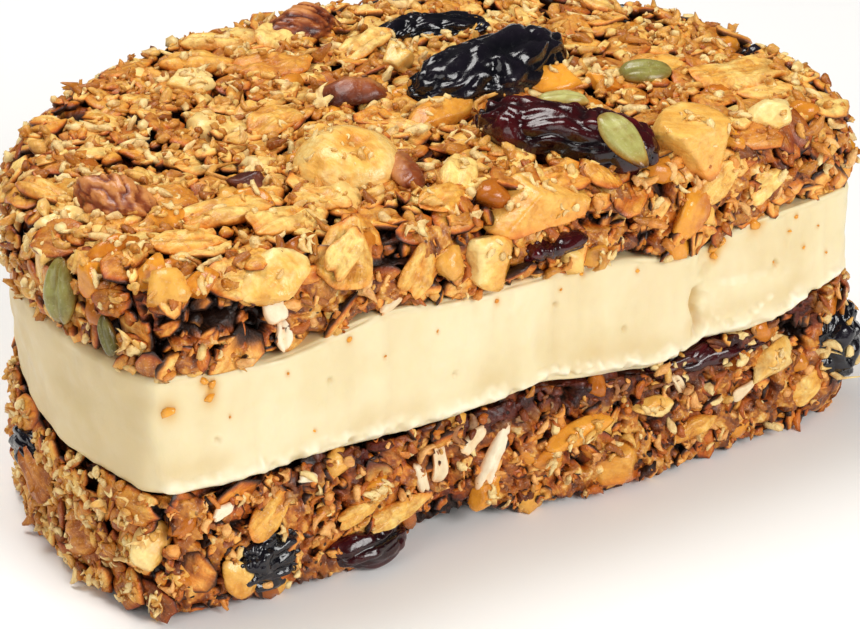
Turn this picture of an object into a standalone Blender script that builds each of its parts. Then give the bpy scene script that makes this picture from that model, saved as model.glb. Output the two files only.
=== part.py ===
"""Part of a granola alfajor: two pressed oat-and-nut rounds with a thick cream between them,
cut straight through in front of the middle. X runs along the cut, -Y is the cut's outward
side and Z is up. The origin is under the middle of the piece, on the surface it rests on."""

import math
import random

import bmesh
import bpy
import numpy as np
from mathutils import Matrix, Vector, noise

MM = 0.001

# The round, seen from above.
HALF_LENGTH = 40.0 * MM  # half of the widest side, along X
REAR_REACH = 35.6 * MM  # from the round's middle to its rear rim
CUT_OFFSET = 14.3 * MM  # from the round's middle forward to the cut
RIM_POWER = 2.18  # 2 is an ellipse, more is squarer
CORNER_POWER = 18.0  # how sharp the corners are where the cut meets the rim
FRONT_Y = -(CUT_OFFSET + REAR_REACH) / 2
MIDDLE_Y = FRONT_Y + CUT_OFFSET
HUB_Y = MIDDLE_Y / 2  # where the flat faces are fanned from

# The layers, from the surface up.
LOWER_TOP = 12.2 * MM  # upper face of the lower round
UPPER_BASE = 23.3 * MM  # lower face of the upper round
UPPER_TOP = 32.2 * MM
GAP = 0.3 * MM  # between pieces that touch
CREAM_INSET = 1.3 * MM  # how far the cream's side stands behind the rounds'
FLAKE_RISE = 0.7 * MM  # how far the small pieces stand out of a round's side

# Slow rises and dips of the two joint faces, strongest at the cut: (x, half width, height).
LOWER_SWELLS = (
    (35.0 * MM, 7.0 * MM, 2.2 * MM),
    (14.5 * MM, 5.0 * MM, -1.1 * MM),
    (1.5 * MM, 3.0 * MM, 0.8 * MM),
)
UPPER_SWELLS = (
    (17.5 * MM, 6.0 * MM, -2.1 * MM),
    (-25.0 * MM, 5.0 * MM, -0.7 * MM),
    (-14.0 * MM, 5.0 * MM, 0.7 * MM),
)
SWELL_DEPTH = 16.0 * MM  # how far behind the cut a swell fades

# Bulges and hollows of the cut itself, forward positive: (x, half width, at the base, at the top).
BOTTOM_BULGES = (
    (-8.0 * MM, 5.0 * MM, -1.6 * MM, -0.2 * MM),
    (11.0 * MM, 8.0 * MM, 1.0 * MM, 0.3 * MM),
    (-24.0 * MM, 6.0 * MM, 0.6 * MM, 0.0 * MM),
)
CREAM_BULGES = (
    (28.0 * MM, 6.0 * MM, 0.9 * MM, 0.6 * MM),
    (4.0 * MM, 10.0 * MM, 0.4 * MM, 0.4 * MM),
    (20.5 * MM, 3.0 * MM, -0.8 * MM, -0.6 * MM),
)
TOP_BULGES = (
    (-21.0 * MM, 5.0 * MM, -1.0 * MM, 0.3 * MM),
    (14.0 * MM, 7.0 * MM, 0.6 * MM, -0.4 * MM),
)
BULGE_DEPTH = 6.0 * MM  # how far behind the cut a bulge fades

# Relief and the small pieces pressed into the rounds.
CRAG_HEIGHT = 0.6 * MM
CRAG_WIDTH = 5.5 * MM
CREAM_WAVE = 0.25 * MM
AROUND = 60  # points round an outline
SPACING = 7.0 * MM  # between the middles of neighbouring small pieces
TRIES = 6000
SEED = 20

OAT = (0.50, 0.28, 0.11)
CREAM = (0.87, 0.80, 0.58)
RAISIN = (0.012, 0.008, 0.014)
CRANBERRY = (0.09, 0.008, 0.012)
NUT = (0.72, 0.47, 0.20)
ALMOND = (0.27, 0.075, 0.03)


def clear_scene():
    for obj in list(bpy.data.objects):
        bpy.data.objects.remove(obj, do_unlink=True)


# ---------------------------------------------------------------- the round's shape


def swell(x, y, hills):
    """Height that the hills add at a point: bumps along X that fade behind the cut."""
    behind = (y - FRONT_Y) / SWELL_DEPTH
    rise = sum(height * math.exp(-(((x - at) / wide) ** 2)) for at, wide, height in hills)
    return rise * math.exp(-behind * behind)


def lower_top(x, y):
    return LOWER_TOP + swell(x, y, LOWER_SWELLS)


def upper_base(x, y):
    return UPPER_BASE + swell(x, y, UPPER_SWELLS)


def bulge(x, y, share, bulges):
    """How far forward the cut stands at a place, share being how high up the layer it is."""
    behind = (y - FRONT_Y) / BULGE_DEPTH
    push = sum(
        (low + share * (high - low)) * math.exp(-(((x - at) / wide) ** 2))
        for at, wide, low, high in bulges
    )
    return push * math.exp(-behind * behind)


def outline(count, inset):
    """The cut round seen from above, evenly spaced and anticlockwise, moved inwards by inset.
    Its radius about the round's middle blends the rim's superellipse with the straight cut."""
    turn = np.linspace(-math.pi / 2, 1.5 * math.pi, 50 * count, endpoint=False)
    across, along = np.cos(turn), np.sin(turn)
    reach = np.abs(across / HALF_LENGTH) ** RIM_POWER + np.abs(along / REAR_REACH) ** RIM_POWER
    rim = reach ** (-1 / RIM_POWER)
    cut = CUT_OFFSET / np.maximum(-along, 0.0001)
    radius = (rim**-CORNER_POWER + cut**-CORNER_POWER) ** (-1 / CORNER_POWER)
    x, y = radius * across, MIDDLE_Y + radius * along
    run_x, run_y = np.gradient(x), np.gradient(y)
    size = np.hypot(run_x, run_y)
    x, y = x - inset * run_y / size, y + inset * run_x / size
    walked = np.concatenate([[0.0], np.cumsum(np.hypot(np.diff(x), np.diff(y)))])
    at = np.arange(count) / count * (walked[-1] + math.hypot(x[0] - x[-1], y[0] - y[-1]))
    return [(float(a), float(b)) for a, b in zip(np.interp(at, walked, x), np.interp(at, walked, y))]


def crag(x, y, z, salt):
    """A smooth random number from -1 to 1 that depends on the place alone."""
    return noise.noise(Vector((x, y, z)) / CRAG_WIDTH + Vector((salt, 0.4 * salt, -salt)))


# The side of a layer as (how far in, how high up it), each as a share, from bottom to top.
SIDE = ((1.0, 0.0), (0.45, 0.08), (0.12, 0.25), (0.0, 0.5), (0.12, 0.75), (0.45, 0.92), (1.0, 1.0))
CAP_SHARES = (0.4, 0.7, 0.9)  # rings of a flat face, as shares of its reach


def layer_rows(base, top, bulges, inset, base_edge, top_edge, rough, rough_top, salt):
    """Rings of points from the middle of the base, up the side, to the middle of the top.
    base_edge and top_edge are how far the edges round inwards."""

    def cap(edge, reach, height, share, roughness):
        ring = []
        for x, y in outline(AROUND, inset + edge):
            x, y = x * reach, HUB_Y + (y - HUB_Y) * reach
            z = height(x, y)
            lift = roughness * crag(x, y, z, salt)
            ring.append((x, y - bulge(x, y, share, bulges), z + lift))
        return ring

    rows = [cap(base_edge, reach, base, 0.0, 0.0) for reach in CAP_SHARES]
    for pull, share in SIDE:
        edge = base_edge if share < 0.5 else top_edge
        ring = []
        for x, y in outline(AROUND, inset + pull * edge):
            z = base(x, y) + share * (top(x, y) - base(x, y))
            push = rough * crag(x, y, z, salt) * math.sin(math.pi * share)
            out = Vector((x, y - MIDDLE_Y)).normalized() * push
            lift = rough_top * crag(x, y, z, salt) if share == 1.0 else 0.0
            forward = bulge(x, y, share, bulges)
            ring.append((x + out.x, y + out.y - forward, z + lift))
        rows.append(ring)
    return rows + [cap(top_edge, reach, top, 1.0, rough_top) for reach in reversed(CAP_SHARES)]


def loft(name, rows):
    """A closed body through rings of points, with a fan inside the first and the last."""
    bm = bmesh.new()
    rings = [[bm.verts.new(point) for point in row] for row in rows]
    for low, high in zip(rings, rings[1:]):
        for i in range(AROUND):
            j = (i + 1) % AROUND
            bm.faces.new((low[i], low[j], high[j], high[i]))
    for ring in (rings[0], rings[-1]):
        hub = bm.verts.new((0.0, HUB_Y, ring[0].co.z if ring is rings[0] else mean_z(ring)))
        for i in range(AROUND):
            bm.faces.new((hub, ring[i], ring[(i + 1) % AROUND]))
    return to_object(name, bm)


def mean_z(ring):
    return sum(vert.co.z for vert in ring) / len(ring)


def to_object(name, bm):
    """Makes the object from a bmesh, with its faces turned outwards."""
    bmesh.ops.recalc_face_normals(bm, faces=bm.faces[:])
    mesh = bpy.data.meshes.new(name)
    bm.to_mesh(mesh)
    bm.free()
    obj = bpy.data.objects.new(name, mesh)
    bpy.context.scene.collection.objects.link(obj)
    return obj


# ---------------------------------------------------------------- small pieces


def place(bm, at, normal, turn, tilt):
    """Lays a piece modelled flat at the origin onto a surface, turned and tipped a little."""
    upright = normal.to_track_quat("Z", "Y").to_matrix().to_4x4()
    pose = Matrix.Translation(at) @ upright @ Matrix.Rotation(turn, 4, "Z") @ Matrix.Rotation(tilt, 4, "X")
    bmesh.ops.transform(bm, matrix=pose, verts=bm.verts[:])


def oat_flake(rand, size):
    """A rolled oat: a flat oval with six sides, bowed along its length."""
    bm = bmesh.new()
    bmesh.ops.create_cone(bm, cap_ends=True, segments=6, radius1=1.0, radius2=0.8, depth=1.0)
    for vert in bm.verts:
        x, y, z = vert.co
        ragged = rand.uniform(0.88, 1.08)
        bow = 0.14 * size * (x * x - 0.5)
        vert.co = (0.5 * size * x * ragged, 0.38 * size * y * ragged, 0.20 * size * z + bow)
    return bm


def nut_bit(rand, size):
    """A chopped nut: a lump with twenty flat sides."""
    bm = bmesh.new()
    bmesh.ops.create_icosphere(bm, subdivisions=1, radius=0.5 * size)
    for vert in bm.verts:
        vert.co = vert.co * rand.uniform(0.78, 1.15)
        vert.co.z *= 0.75
    return bm


def seed_kernel(rand, size):
    """A pumpkin or sunflower kernel: a pointed oval with a low ridge."""
    bm = bmesh.new()
    bmesh.ops.create_uvsphere(bm, u_segments=6, v_segments=4, radius=0.5 * size)
    for vert in bm.verts:
        vert.co = (vert.co.z * 1.1, vert.co.y * rand.uniform(0.50, 0.56), vert.co.x * 0.34)
    return bm


KINDS = (  # each with its smallest and largest size and how often it comes
    (oat_flake, 4.6 * MM, 6.4 * MM, 0.70),
    (nut_bit, 3.4 * MM, 5.2 * MM, 0.22),
    (seed_kernel, 6.0 * MM, 7.5 * MM, 0.08),
)


def spots(core, rand, allowed):
    """Points spread over a body at the spacing, each with the normal there."""
    core.data.calc_loop_triangles()
    corners = [[core.data.vertices[i].co for i in t.vertices] for t in core.data.loop_triangles]
    normals = [Vector(t.normal) for t in core.data.loop_triangles]
    areas = [t.area for t in core.data.loop_triangles]
    found = []
    for number in rand.choices(range(len(areas)), areas, k=TRIES):
        a, b, c = corners[number]
        u, v = sorted((rand.random(), rand.random()))
        at = a * u + b * (v - u) + c * (1 - v)
        if allowed(at, normals[number]) and all((at - p).length > SPACING for p, _ in found):
            found.append((at, normals[number]))
    return found


def press_in(core, rand, allowed, lift_clear):
    """Spreads small pieces over a round and joins them to it."""
    home = new_collection("pressed_in")
    for at, normal in spots(core, rand, allowed):
        make, small, large, _ = rand.choices(KINDS, [kind[3] for kind in KINDS])[0]
        size = rand.uniform(small, large)
        bm = make(rand, size)
        place(bm, at + 0.05 * size * normal, normal, rand.uniform(0, math.tau), rand.uniform(-0.3, 0.3))
        bmesh.ops.translate(bm, vec=(0, 0, lift_clear(bm)), verts=bm.verts[:])
        move_to(home, to_object("bit", bm))
    print(core.name, "gets", len(home.objects), "small pieces")
    boolean(core, "UNION", "MANIFOLD", home)
    keep_largest(core)


# ---------------------------------------------------------------- joining and cutting


def apply_modifiers(obj):
    """Replaces an object's mesh by the one its modifiers make."""
    graph = bpy.context.evaluated_depsgraph_get()
    mesh = bpy.data.meshes.new_from_object(obj.evaluated_get(graph))
    obj.modifiers.clear()
    obj.data = mesh


def boolean(obj, operation, solver, collection):
    """Joins or cuts an object by everything in a collection, then removes the collection."""
    step = obj.modifiers.new(operation.lower(), "BOOLEAN")
    step.operation = operation
    step.solver = solver
    step.operand_type = "COLLECTION"
    step.collection = collection
    apply_modifiers(obj)
    for piece in list(collection.objects):
        bpy.data.objects.remove(piece, do_unlink=True)
    bpy.data.collections.remove(collection)


def new_collection(name):
    home = bpy.data.collections.new(name)
    bpy.context.scene.collection.children.link(home)
    return home


def move_to(home, obj):
    bpy.context.scene.collection.objects.unlink(obj)
    home.objects.link(obj)


def keep_largest(obj):
    """Leaves the largest closed shell: a sealed hollow is filled and a loose scrap is dropped."""
    bm = bmesh.new()
    bm.from_mesh(obj.data)
    bmesh.ops.triangulate(bm, faces=bm.faces[:])
    unseen, shells = set(bm.faces), []
    while unseen:
        shell, front = set(), [unseen.pop()]
        while front:
            face = front.pop()
            shell.add(face)
            pairs = [edge.link_faces for edge in face.edges if len(edge.link_faces) == 2]
            near = {other for pair in pairs for other in pair} & unseen
            unseen -= near
            front.extend(near)
        shells.append(shell)
    best = max(shells, key=len)
    bmesh.ops.delete(bm, geom=[f for f in bm.faces if f not in best], context="FACES")
    bm.to_mesh(obj.data)
    bm.free()
    print(obj.name, "has", len(obj.data.polygons), "triangles in the largest of", len(shells), "shells")


# ---------------------------------------------------------------- fruit and large nuts

# Each is (name, shape, colour, middle, (length, width, height), turn, tip, salt), in mm: turn is
# about Z and tip lowers its +X end, both in degrees.
ON_TOP_COOKIE = (
    ("raisin_rear", "fruit", RAISIN, (10.8, -2.2, 32.9), (17.4, 8.2, 6.8), 3, -3, 1),
    ("cranberry_front", "fruit", CRANBERRY, (8.8, -17.4, 32.6), (17.6, 7.0, 6.0), -55, 2, 2),
    ("raisin_far", "fruit", RAISIN, (12.8, 11.2, 32.0), (11.0, 4.6, 3.2), -18, 0, 3),
    ("raisin_right_rim", "fruit", RAISIN, (37.0, -8.8, 29.9), (7.0, 3.8, 3.4), 86, 0, 4),
    ("raisin_back_rim", "fruit", RAISIN, (33.2, 7.0, 29.9), (6.0, 3.8, 3.2), 125, 0, 5),
    ("cranberry_cut", "fruit", CRANBERRY, (3.2, -23.8, 26.3), (7.6, 4.4, 2.6), 4, 0, 6),
    ("macadamia", "nut", NUT, (-10.4, -11.8, 32.3), (10.2, 9.4, 7.6), -35, 0, 7),
    ("nut_wedge", "chunk", NUT, (1.6, -23.8, 30.4), (8.8, 5.0, 4.4), 0, 0, 8),
    ("peanut_right", "chunk", NUT, (18.9, -22.9, 31.7), (6.0, 5.4, 5.4), 20, 0, 9),
    ("almond_left", "chunk", ALMOND, (-31.6, -8.0, 32.0), (7.4, 4.6, 4.6), -55, 0, 10),
    ("almond_rear", "chunk", ALMOND, (2.4, 17.6, 32.0), (7.6, 4.8, 4.4), -5, 0, 11),
)
ON_BOTTOM_COOKIE = (
    ("raisin_corner", "fruit", RAISIN, (35.6, -21.4, 7.2), (7.6, 8.0, 9.6), 0, 0, 12),
    ("raisin_cut", "fruit", RAISIN, (-26.6, -23.9, 4.2), (6.6, 4.6, 6.4), 0, 0, 13),
    ("cranberry_base", "fruit", CRANBERRY, (-16.3, -24.1, 2.3), (8.2, 4.6, 4.0), 0, 0, 14),
    ("cranberry_under_cream", "fruit", CRANBERRY, (21.2, -23.3, 10.4), (15.0, 4.2, 2.6), 0, 0, 15),
    ("raisin_left_rim", "fruit", RAISIN, (-37.8, -3.6, 8.4), (6.0, 3.8, 4.4), 86, 0, 16),
    ("nut_base", "chunk", NUT, (10.0, -24.3, 3.0), (7.8, 4.4, 5.0), 6, 0, 17),
)


def dried_fruit(size, salt):
    """A raisin or dried cranberry: a rounded lump with folds that run along it."""
    bm = bmesh.new()
    bmesh.ops.create_uvsphere(bm, u_segments=11, v_segments=7, radius=0.5)
    for vert in bm.verts:
        along, side, up = vert.co.z, vert.co.x, vert.co.y
        angle = math.atan2(up, side)
        fold = 0.06 * math.sin(5 * angle + 5 * along + salt) + 0.04 * math.sin(3 * angle - 9 * along)
        swelled = 1 + fold * (1 - 4 * along * along)
        vert.co = (along * size[0], side * swelled * size[1], up * swelled * size[2])
    return bm


def nut_half(size, _salt):
    """A whole round kernel with a shallow dimple in its upper side."""
    bm = bmesh.new()
    bmesh.ops.create_uvsphere(bm, u_segments=14, v_segments=8, radius=0.5)
    for vert in bm.verts:
        x, y, z = vert.co
        dimple = 0.16 * math.exp(-(x * x + y * y) / 0.03) if z > 0 else 0.0
        vert.co = (x * size[0], y * size[1], (z - dimple) * size[2])
    return bm


def nut_chunk(size, salt):
    """A broken nut with flat sides and blunt corners."""
    rand = random.Random(salt)
    bm = bmesh.new()
    bmesh.ops.create_icosphere(bm, subdivisions=1, radius=0.5)
    for vert in bm.verts:
        vert.co = vert.co * rand.uniform(0.92, 1.12)
        vert.co = (vert.co.x * size[0], vert.co.y * size[1], vert.co.z * size[2])
    return bm


SHAPES = {"fruit": dried_fruit, "nut": nut_half, "chunk": nut_chunk}


def inclusion(name, shape, middle, size, turn, tip, salt, grow):
    """A large piece, or with grow the socket that it sits in."""
    bm = SHAPES[shape]([s * MM + 2 * grow for s in size], salt)
    pose = Matrix.Translation(Vector(middle) * MM) @ Matrix.Rotation(math.radians(turn), 4, "Z")
    bmesh.ops.transform(bm, matrix=pose @ Matrix.Rotation(math.radians(tip), 4, "Y"), verts=bm.verts[:])
    return to_object(name, bm)


def cut_sockets(host, inclusions):
    home = new_collection("sockets")
    for _, shape, _, middle, size, turn, tip, salt in inclusions:
        move_to(home, inclusion("socket", shape, middle, size, turn, tip, salt, GAP))
    boolean(host, "DIFFERENCE", "EXACT", home)
    keep_largest(host)


def dress(obj, colour, roughness):
    """Gives an object its own plain material."""
    material = bpy.data.materials.new(obj.name)
    material.use_nodes = True
    shader = material.node_tree.nodes["Principled BSDF"]
    shader.inputs["Base Color"].default_value = (*colour, 1.0)
    shader.inputs["Roughness"].default_value = roughness
    shader.inputs["Metallic"].default_value = 0.0
    obj.data.materials.clear()
    obj.data.materials.append(material)


# ---------------------------------------------------------------- the three layers


def make_bottom_cookie(rand):
    def base(x, y):
        return 0.0

    rows = layer_rows(
        base, lower_top, BOTTOM_BULGES, FLAKE_RISE, 2.4 * MM, 1.2 * MM, CRAG_HEIGHT, 0.0, 3
    )
    core = loft("bottom_cookie", rows)

    def allowed(at, normal):
        return abs(normal.z) < 0.8 and 2.0 * MM < at.z < lower_top(at.x, at.y) - 1.4 * MM

    def lift_clear(bm):
        high = max(v.co.z - lower_top(v.co.x, v.co.y) for v in bm.verts)
        low = min(v.co.z for v in bm.verts)
        return -high if high > 0 else max(0.4 * MM - low, 0.0)

    press_in(core, rand, allowed, lift_clear)
    cut_sockets(core, ON_BOTTOM_COOKIE)
    return core


def make_top_cookie(rand):
    def base(x, y):
        return upper_base(x, y) + 2 * GAP

    def top(x, y):
        return UPPER_TOP

    rows = layer_rows(
        base, top, TOP_BULGES, FLAKE_RISE, 1.2 * MM, 2.6 * MM, CRAG_HEIGHT, CRAG_HEIGHT, 7
    )
    core = loft("top_cookie", rows)

    def allowed(at, normal):
        return normal.z > -0.5 and at.z > base(at.x, at.y) + 1.6 * MM

    def lift_clear(bm):
        return max(max(base(v.co.x, v.co.y) - v.co.z for v in bm.verts), 0.0)

    press_in(core, rand, allowed, lift_clear)
    cut_sockets(core, ON_TOP_COOKIE)
    return core


def make_cream_filling():
    def base(x, y):
        return lower_top(x, y) + 2 * GAP

    rows = layer_rows(
        base, upper_base, CREAM_BULGES, CREAM_INSET, 1.6 * MM, 1.0 * MM, CREAM_WAVE, 0.0, 11
    )
    return loft("cream_filling", rows)


def main():
    clear_scene()
    rand = random.Random(SEED)
    dress(make_bottom_cookie(rand), OAT, 0.55)
    dress(make_cream_filling(), CREAM, 0.45)
    dress(make_top_cookie(rand), OAT, 0.55)
    for name, shape, colour, middle, size, turn, tip, salt in ON_TOP_COOKIE + ON_BOTTOM_COOKIE:
        piece = inclusion(name, shape, middle, size, turn, tip, salt, 0.0)
        dress(piece, colour, 0.3)
        if shape != "chunk":
            piece.data.shade_smooth()


main()
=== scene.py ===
# %% [markdown]
# # A granola alfajor, cut
#
# Two rounds of pressed oats, nuts and dried fruit hold a thick slab of pale cream, and the
# whole has been cut straight through. The plain solids made for weight and fit are loaded
# first. They could be shown as they are, but no plain solid looks like granola, so every one
# is replaced here by a finer surface in the same place.

# %% The frame
import itertools
import math

import bpy
import numpy as np
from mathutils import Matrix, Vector


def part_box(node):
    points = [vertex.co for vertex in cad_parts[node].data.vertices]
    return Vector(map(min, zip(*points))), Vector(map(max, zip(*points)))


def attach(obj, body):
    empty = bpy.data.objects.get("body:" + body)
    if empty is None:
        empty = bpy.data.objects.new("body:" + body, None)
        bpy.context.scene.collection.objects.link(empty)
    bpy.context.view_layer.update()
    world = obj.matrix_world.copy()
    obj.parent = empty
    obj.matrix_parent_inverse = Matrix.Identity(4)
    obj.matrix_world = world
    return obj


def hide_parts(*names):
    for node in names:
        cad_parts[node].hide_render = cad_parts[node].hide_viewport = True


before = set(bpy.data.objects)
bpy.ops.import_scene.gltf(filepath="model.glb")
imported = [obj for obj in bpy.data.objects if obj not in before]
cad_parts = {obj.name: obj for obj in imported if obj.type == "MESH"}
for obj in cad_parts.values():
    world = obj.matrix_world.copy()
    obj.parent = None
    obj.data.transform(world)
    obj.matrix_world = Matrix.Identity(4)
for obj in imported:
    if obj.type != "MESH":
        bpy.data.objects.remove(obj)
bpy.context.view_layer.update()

# %% [markdown]
# ## Sizes
#
# Shapes are worked out in millimetres, which suit a cookie, and are put into meshes in metres.
# The round seen from above is a superellipse with a straight cut across its front. The two
# joint faces rise and dip a little, most of all at the cut. These sizes are the solids' own, so
# that each surface below lies where its solid lies.

# %% Named sizes
MM = 0.001
HALF_LENGTH = 40.0
REAR_REACH = 35.6
CUT_OFFSET = 14.3
RIM_POWER = 2.18
CORNER_POWER = 18.0
FRONT_Y = -(CUT_OFFSET + REAR_REACH) / 2
MIDDLE_Y = FRONT_Y + CUT_OFFSET
LOWER_TOP = 12.2
UPPER_BASE = 23.3
UPPER_TOP = 32.2
JOINT = 0.3
CREAM_INSET = 1.3
LOWER_SWELLS = ((35.0, 7.0, 2.2), (14.5, 5.0, -1.1), (1.5, 3.0, 0.8))  # x, half width, height
UPPER_SWELLS = ((17.5, 6.0, -2.1), (-25.0, 5.0, -0.7), (-14.0, 5.0, 0.7))
SWELL_DEPTH = 16.0
# Each bulge of the cut: x, half width, then how far it stands forward at the base and the top.
BOTTOM_BULGES = ((-8.0, 5.0, -1.6, -0.2), (11.0, 8.0, 1.0, 0.3), (-24.0, 6.0, 0.6, 0.0))
CREAM_BULGES = ((28.0, 6.0, 0.9, 0.6), (4.0, 10.0, 0.4, 0.4), (20.5, 3.0, -0.8, -0.6))
TOP_BULGES = ((-21.0, 5.0, -1.0, 0.3), (14.0, 7.0, 0.6, -0.4))
BULGE_DEPTH = 6.0
rng = np.random.default_rng(7)
print("cut", 2 * HALF_LENGTH, "mm long, piece", UPPER_TOP, "mm high without its fruit")

# %% [markdown]
# ## Camera, floor and light
#
# The piece is looked at from the front left and a little above, with a long lens so that its
# edges stay nearly parallel. Food looks best under a large soft light from above and behind,
# which draws a gloss along every flake, with a weaker light in front that keeps the cut open.
# One hard lamp would be simpler, but it would leave black shadows between the flakes.

# %% Camera and stage
EYE = Vector((-0.15822, -0.25908, 0.16352))  # in metres, as is all of the stage
AIM = Vector((0.00176, -0.00611, 0.012))
LENS_MM = 151.59
SENSOR_MM = 36.0
NEAREST_SEEN = 0.01
WARM_WHITE = (1.0, 0.98, 0.95)
PALE_WHITE = (1.0, 0.99, 0.97)
LAMPS = (  # name, place, target, width, watts and colour
    ("overhead", (-0.08, 0.15, 0.46), (0, 0, 0.02), 0.24, 1.65, WARM_WHITE),
    ("front_fill", (0.10, -0.50, 0.30), (0, 0, 0.015), 0.26, 2.3, PALE_WHITE),
    ("left_fill", (-0.45, -0.15, 0.22), (0, 0, 0.02), 0.25, 0.45, WARM_WHITE),
)
BACKDROP_COLOUR = (1.0, 0.99, 0.98, 1.0)
BACKDROP_LIGHT = 0.26
BACKDROP_REFLECTED = 0.05  # a dark surround in reflections keeps the fruit black
FLOOR_REACH = 3.0


def aimed(name, data, place, target):
    """A lamp or camera at a place that looks at a target."""
    thing = bpy.data.objects.new(name, data)
    thing.location = place
    thing.rotation_euler = (Vector(target) - Vector(place)).to_track_quat("-Z", "Y").to_euler()
    bpy.context.scene.collection.objects.link(thing)
    return thing


def soft_light(name, place, target, size, watts, colour):
    """A square lamp whose size softens its shadows."""
    data = bpy.data.lights.new(name, "AREA")
    data.size = size
    data.energy = watts
    data.color = colour
    aimed(name, data, place, target)


camera = aimed("camera", bpy.data.cameras.new("camera"), EYE, AIM)
camera.data.lens = LENS_MM
camera.data.sensor_width = SENSOR_MM
camera.data.clip_start = NEAREST_SEEN
bpy.context.scene.camera = camera
for lamp in LAMPS:
    soft_light(*lamp)

world = bpy.data.worlds.new("studio")
bpy.context.scene.world = world
world.use_nodes = True
backdrop = world.node_tree.nodes["Background"]
backdrop.inputs["Color"].default_value = BACKDROP_COLOUR
ray = world.node_tree.nodes.new("ShaderNodeLightPath")
dimmed = world.node_tree.nodes.new("ShaderNodeMapRange")
dimmed.inputs["To Min"].default_value = BACKDROP_LIGHT
dimmed.inputs["To Max"].default_value = BACKDROP_REFLECTED
world.node_tree.links.new(ray.outputs["Is Glossy Ray"], dimmed.inputs["Value"])
world.node_tree.links.new(dimmed.outputs["Result"], backdrop.inputs["Strength"])
bpy.context.scene.view_settings.view_transform = "Standard"

floor_mesh = bpy.data.meshes.new("floor")
corners = [(x * FLOOR_REACH, y * FLOOR_REACH, 0.0) for x, y in ((-1, -1), (1, -1), (1, 1), (-1, 1))]
floor_mesh.from_pydata(corners, [], [(0, 1, 2, 3)])
floor = bpy.data.objects.new("floor", floor_mesh)
bpy.context.scene.collection.objects.link(floor)
print("camera,", len(LAMPS), "lamps and a floor")

# %% [markdown]
# ## Turning arrays into meshes
#
# Nearly every piece is a closed shell: rings of points between two poles, like the lines of
# latitude of a globe. One helper therefore works out the faces for any number of such shells
# at once. Points are kept as an array of shape (shells, rings, around, 3). `foreach_set` then
# copies whole arrays into the mesh, which is far quicker than adding points one by one.

# %% Closed shells
def shells(grid):
    """Flattens rings to a list for each shell, with the first and last ring's means as poles."""
    count, last = grid.shape[0], grid.shape[-1]
    first_pole = grid[:, :1].mean(axis=2)
    last_pole = grid[:, -1:].mean(axis=2)
    return np.concatenate([first_pole, grid.reshape(count, -1, last), last_pole], axis=1)


def shell_faces(count, rings, around):
    """Faces of the shells, turned outwards: four-sided between rings, three-sided at the poles.
    Rings go away from the first pole, and their points anticlockwise seen from it."""
    column = np.arange(around)
    after = (column + 1) % around
    ring = 1 + around * np.arange(rings - 1)[:, None]
    fours = np.stack([ring + column, ring + around + column, ring + around + after, ring + after], -1)
    last = 1 + around * (rings - 1)
    first_fan = np.stack([0 * column, 1 + column, 1 + after], -1)
    last_fan = np.stack([0 * column + last + around, last + after, last + column], -1)
    threes = np.concatenate([first_fan, last_fan])
    step = (2 + rings * around) * np.arange(count)[:, None, None]
    return (fours.reshape(-1, 4) + step).reshape(-1, 4), (threes + step).reshape(-1, 3)


def put_piece(name, grid, material, nodes, marks):
    """One object from a grid of shells, in place of some nodes, with numbers or vectors marked
    on its points."""
    fours, threes = shell_faces(*grid.shape[:3])
    points = shells(grid).reshape(-1, 3)
    mesh = bpy.data.meshes.new(name)
    mesh.vertices.add(len(points))
    mesh.vertices.foreach_set("co", (points * MM).ravel())
    mesh.loops.add(fours.size + threes.size)
    mesh.loops.foreach_set("vertex_index", np.concatenate([fours.ravel(), threes.ravel()]))
    starts = [4 * np.arange(len(fours)), fours.size + 3 * np.arange(len(threes))]
    mesh.polygons.add(len(fours) + len(threes))
    mesh.polygons.foreach_set("loop_start", np.concatenate(starts))
    mesh.update(calc_edges=True)
    mesh.shade_smooth()
    for label, values in marks.items():
        if values.ndim == 4:
            vectors = shells(values * MM).ravel()
            mesh.attributes.new(label, "FLOAT_VECTOR", "POINT").data.foreach_set("vector", vectors)
        else:
            numbers = shells(values[..., None]).ravel()
            mesh.attributes.new(label, "FLOAT", "POINT").data.foreach_set("value", numbers)
    piece = bpy.data.objects.new(name, mesh)
    bpy.context.scene.collection.objects.link(piece)
    mesh.materials.append(material)
    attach(piece, "root")
    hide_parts(*nodes)
    print(name, len(points), "points,", 2 * len(fours) + len(threes), "triangles")


def put_skin(name, points, material, nodes, marks):
    """One object from a single shell (rings, around, 3)."""
    single = {label: values[None] for label, values in marks.items()}
    put_piece(name, points[None], material, nodes, single)


def ball_grid(ring, around):
    """A ball of radius 1 as rings about X, at given angles from its first pole."""
    ring, turn = ring[:, None], np.arange(around) * math.tau / around
    parts = np.cos(ring), np.sin(ring) * np.cos(turn), np.sin(ring) * np.sin(turn)
    return np.stack(np.broadcast_arrays(*parts), axis=-1)


def unit(vectors):
    """The same directions with length 1."""
    return vectors / np.maximum(np.linalg.norm(vectors, axis=-1, keepdims=True), 1e-9)


# %% [markdown]
# ## Noise for whole arrays
#
# Blender's own noise takes one point at a time. Two kinds are enough here, and both work on
# whole arrays: `lumps` is smooth and rolling, and `cells` gives the distance to the nearest of
# many scattered middles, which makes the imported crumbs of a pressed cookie.

# %% Lumps and cells
def dice(cell, seed):
    """A random number from 0 to 1 for each whole-numbered cell, always the same for that cell."""
    mixed = cell[..., 0] * 73856093 ^ cell[..., 1] * 19349663 ^ cell[..., 2] * 83492791
    mixed = (mixed + seed * 26544357) & 0x7FFFFFFF
    mixed = ((mixed ^ (mixed >> 15)) * 73244475) & 0x7FFFFFFF
    mixed = ((mixed ^ (mixed >> 13)) * 73244475) & 0x7FFFFFFF
    return ((mixed ^ (mixed >> 16)) & 0xFFFFF) / 0xFFFFF


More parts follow.
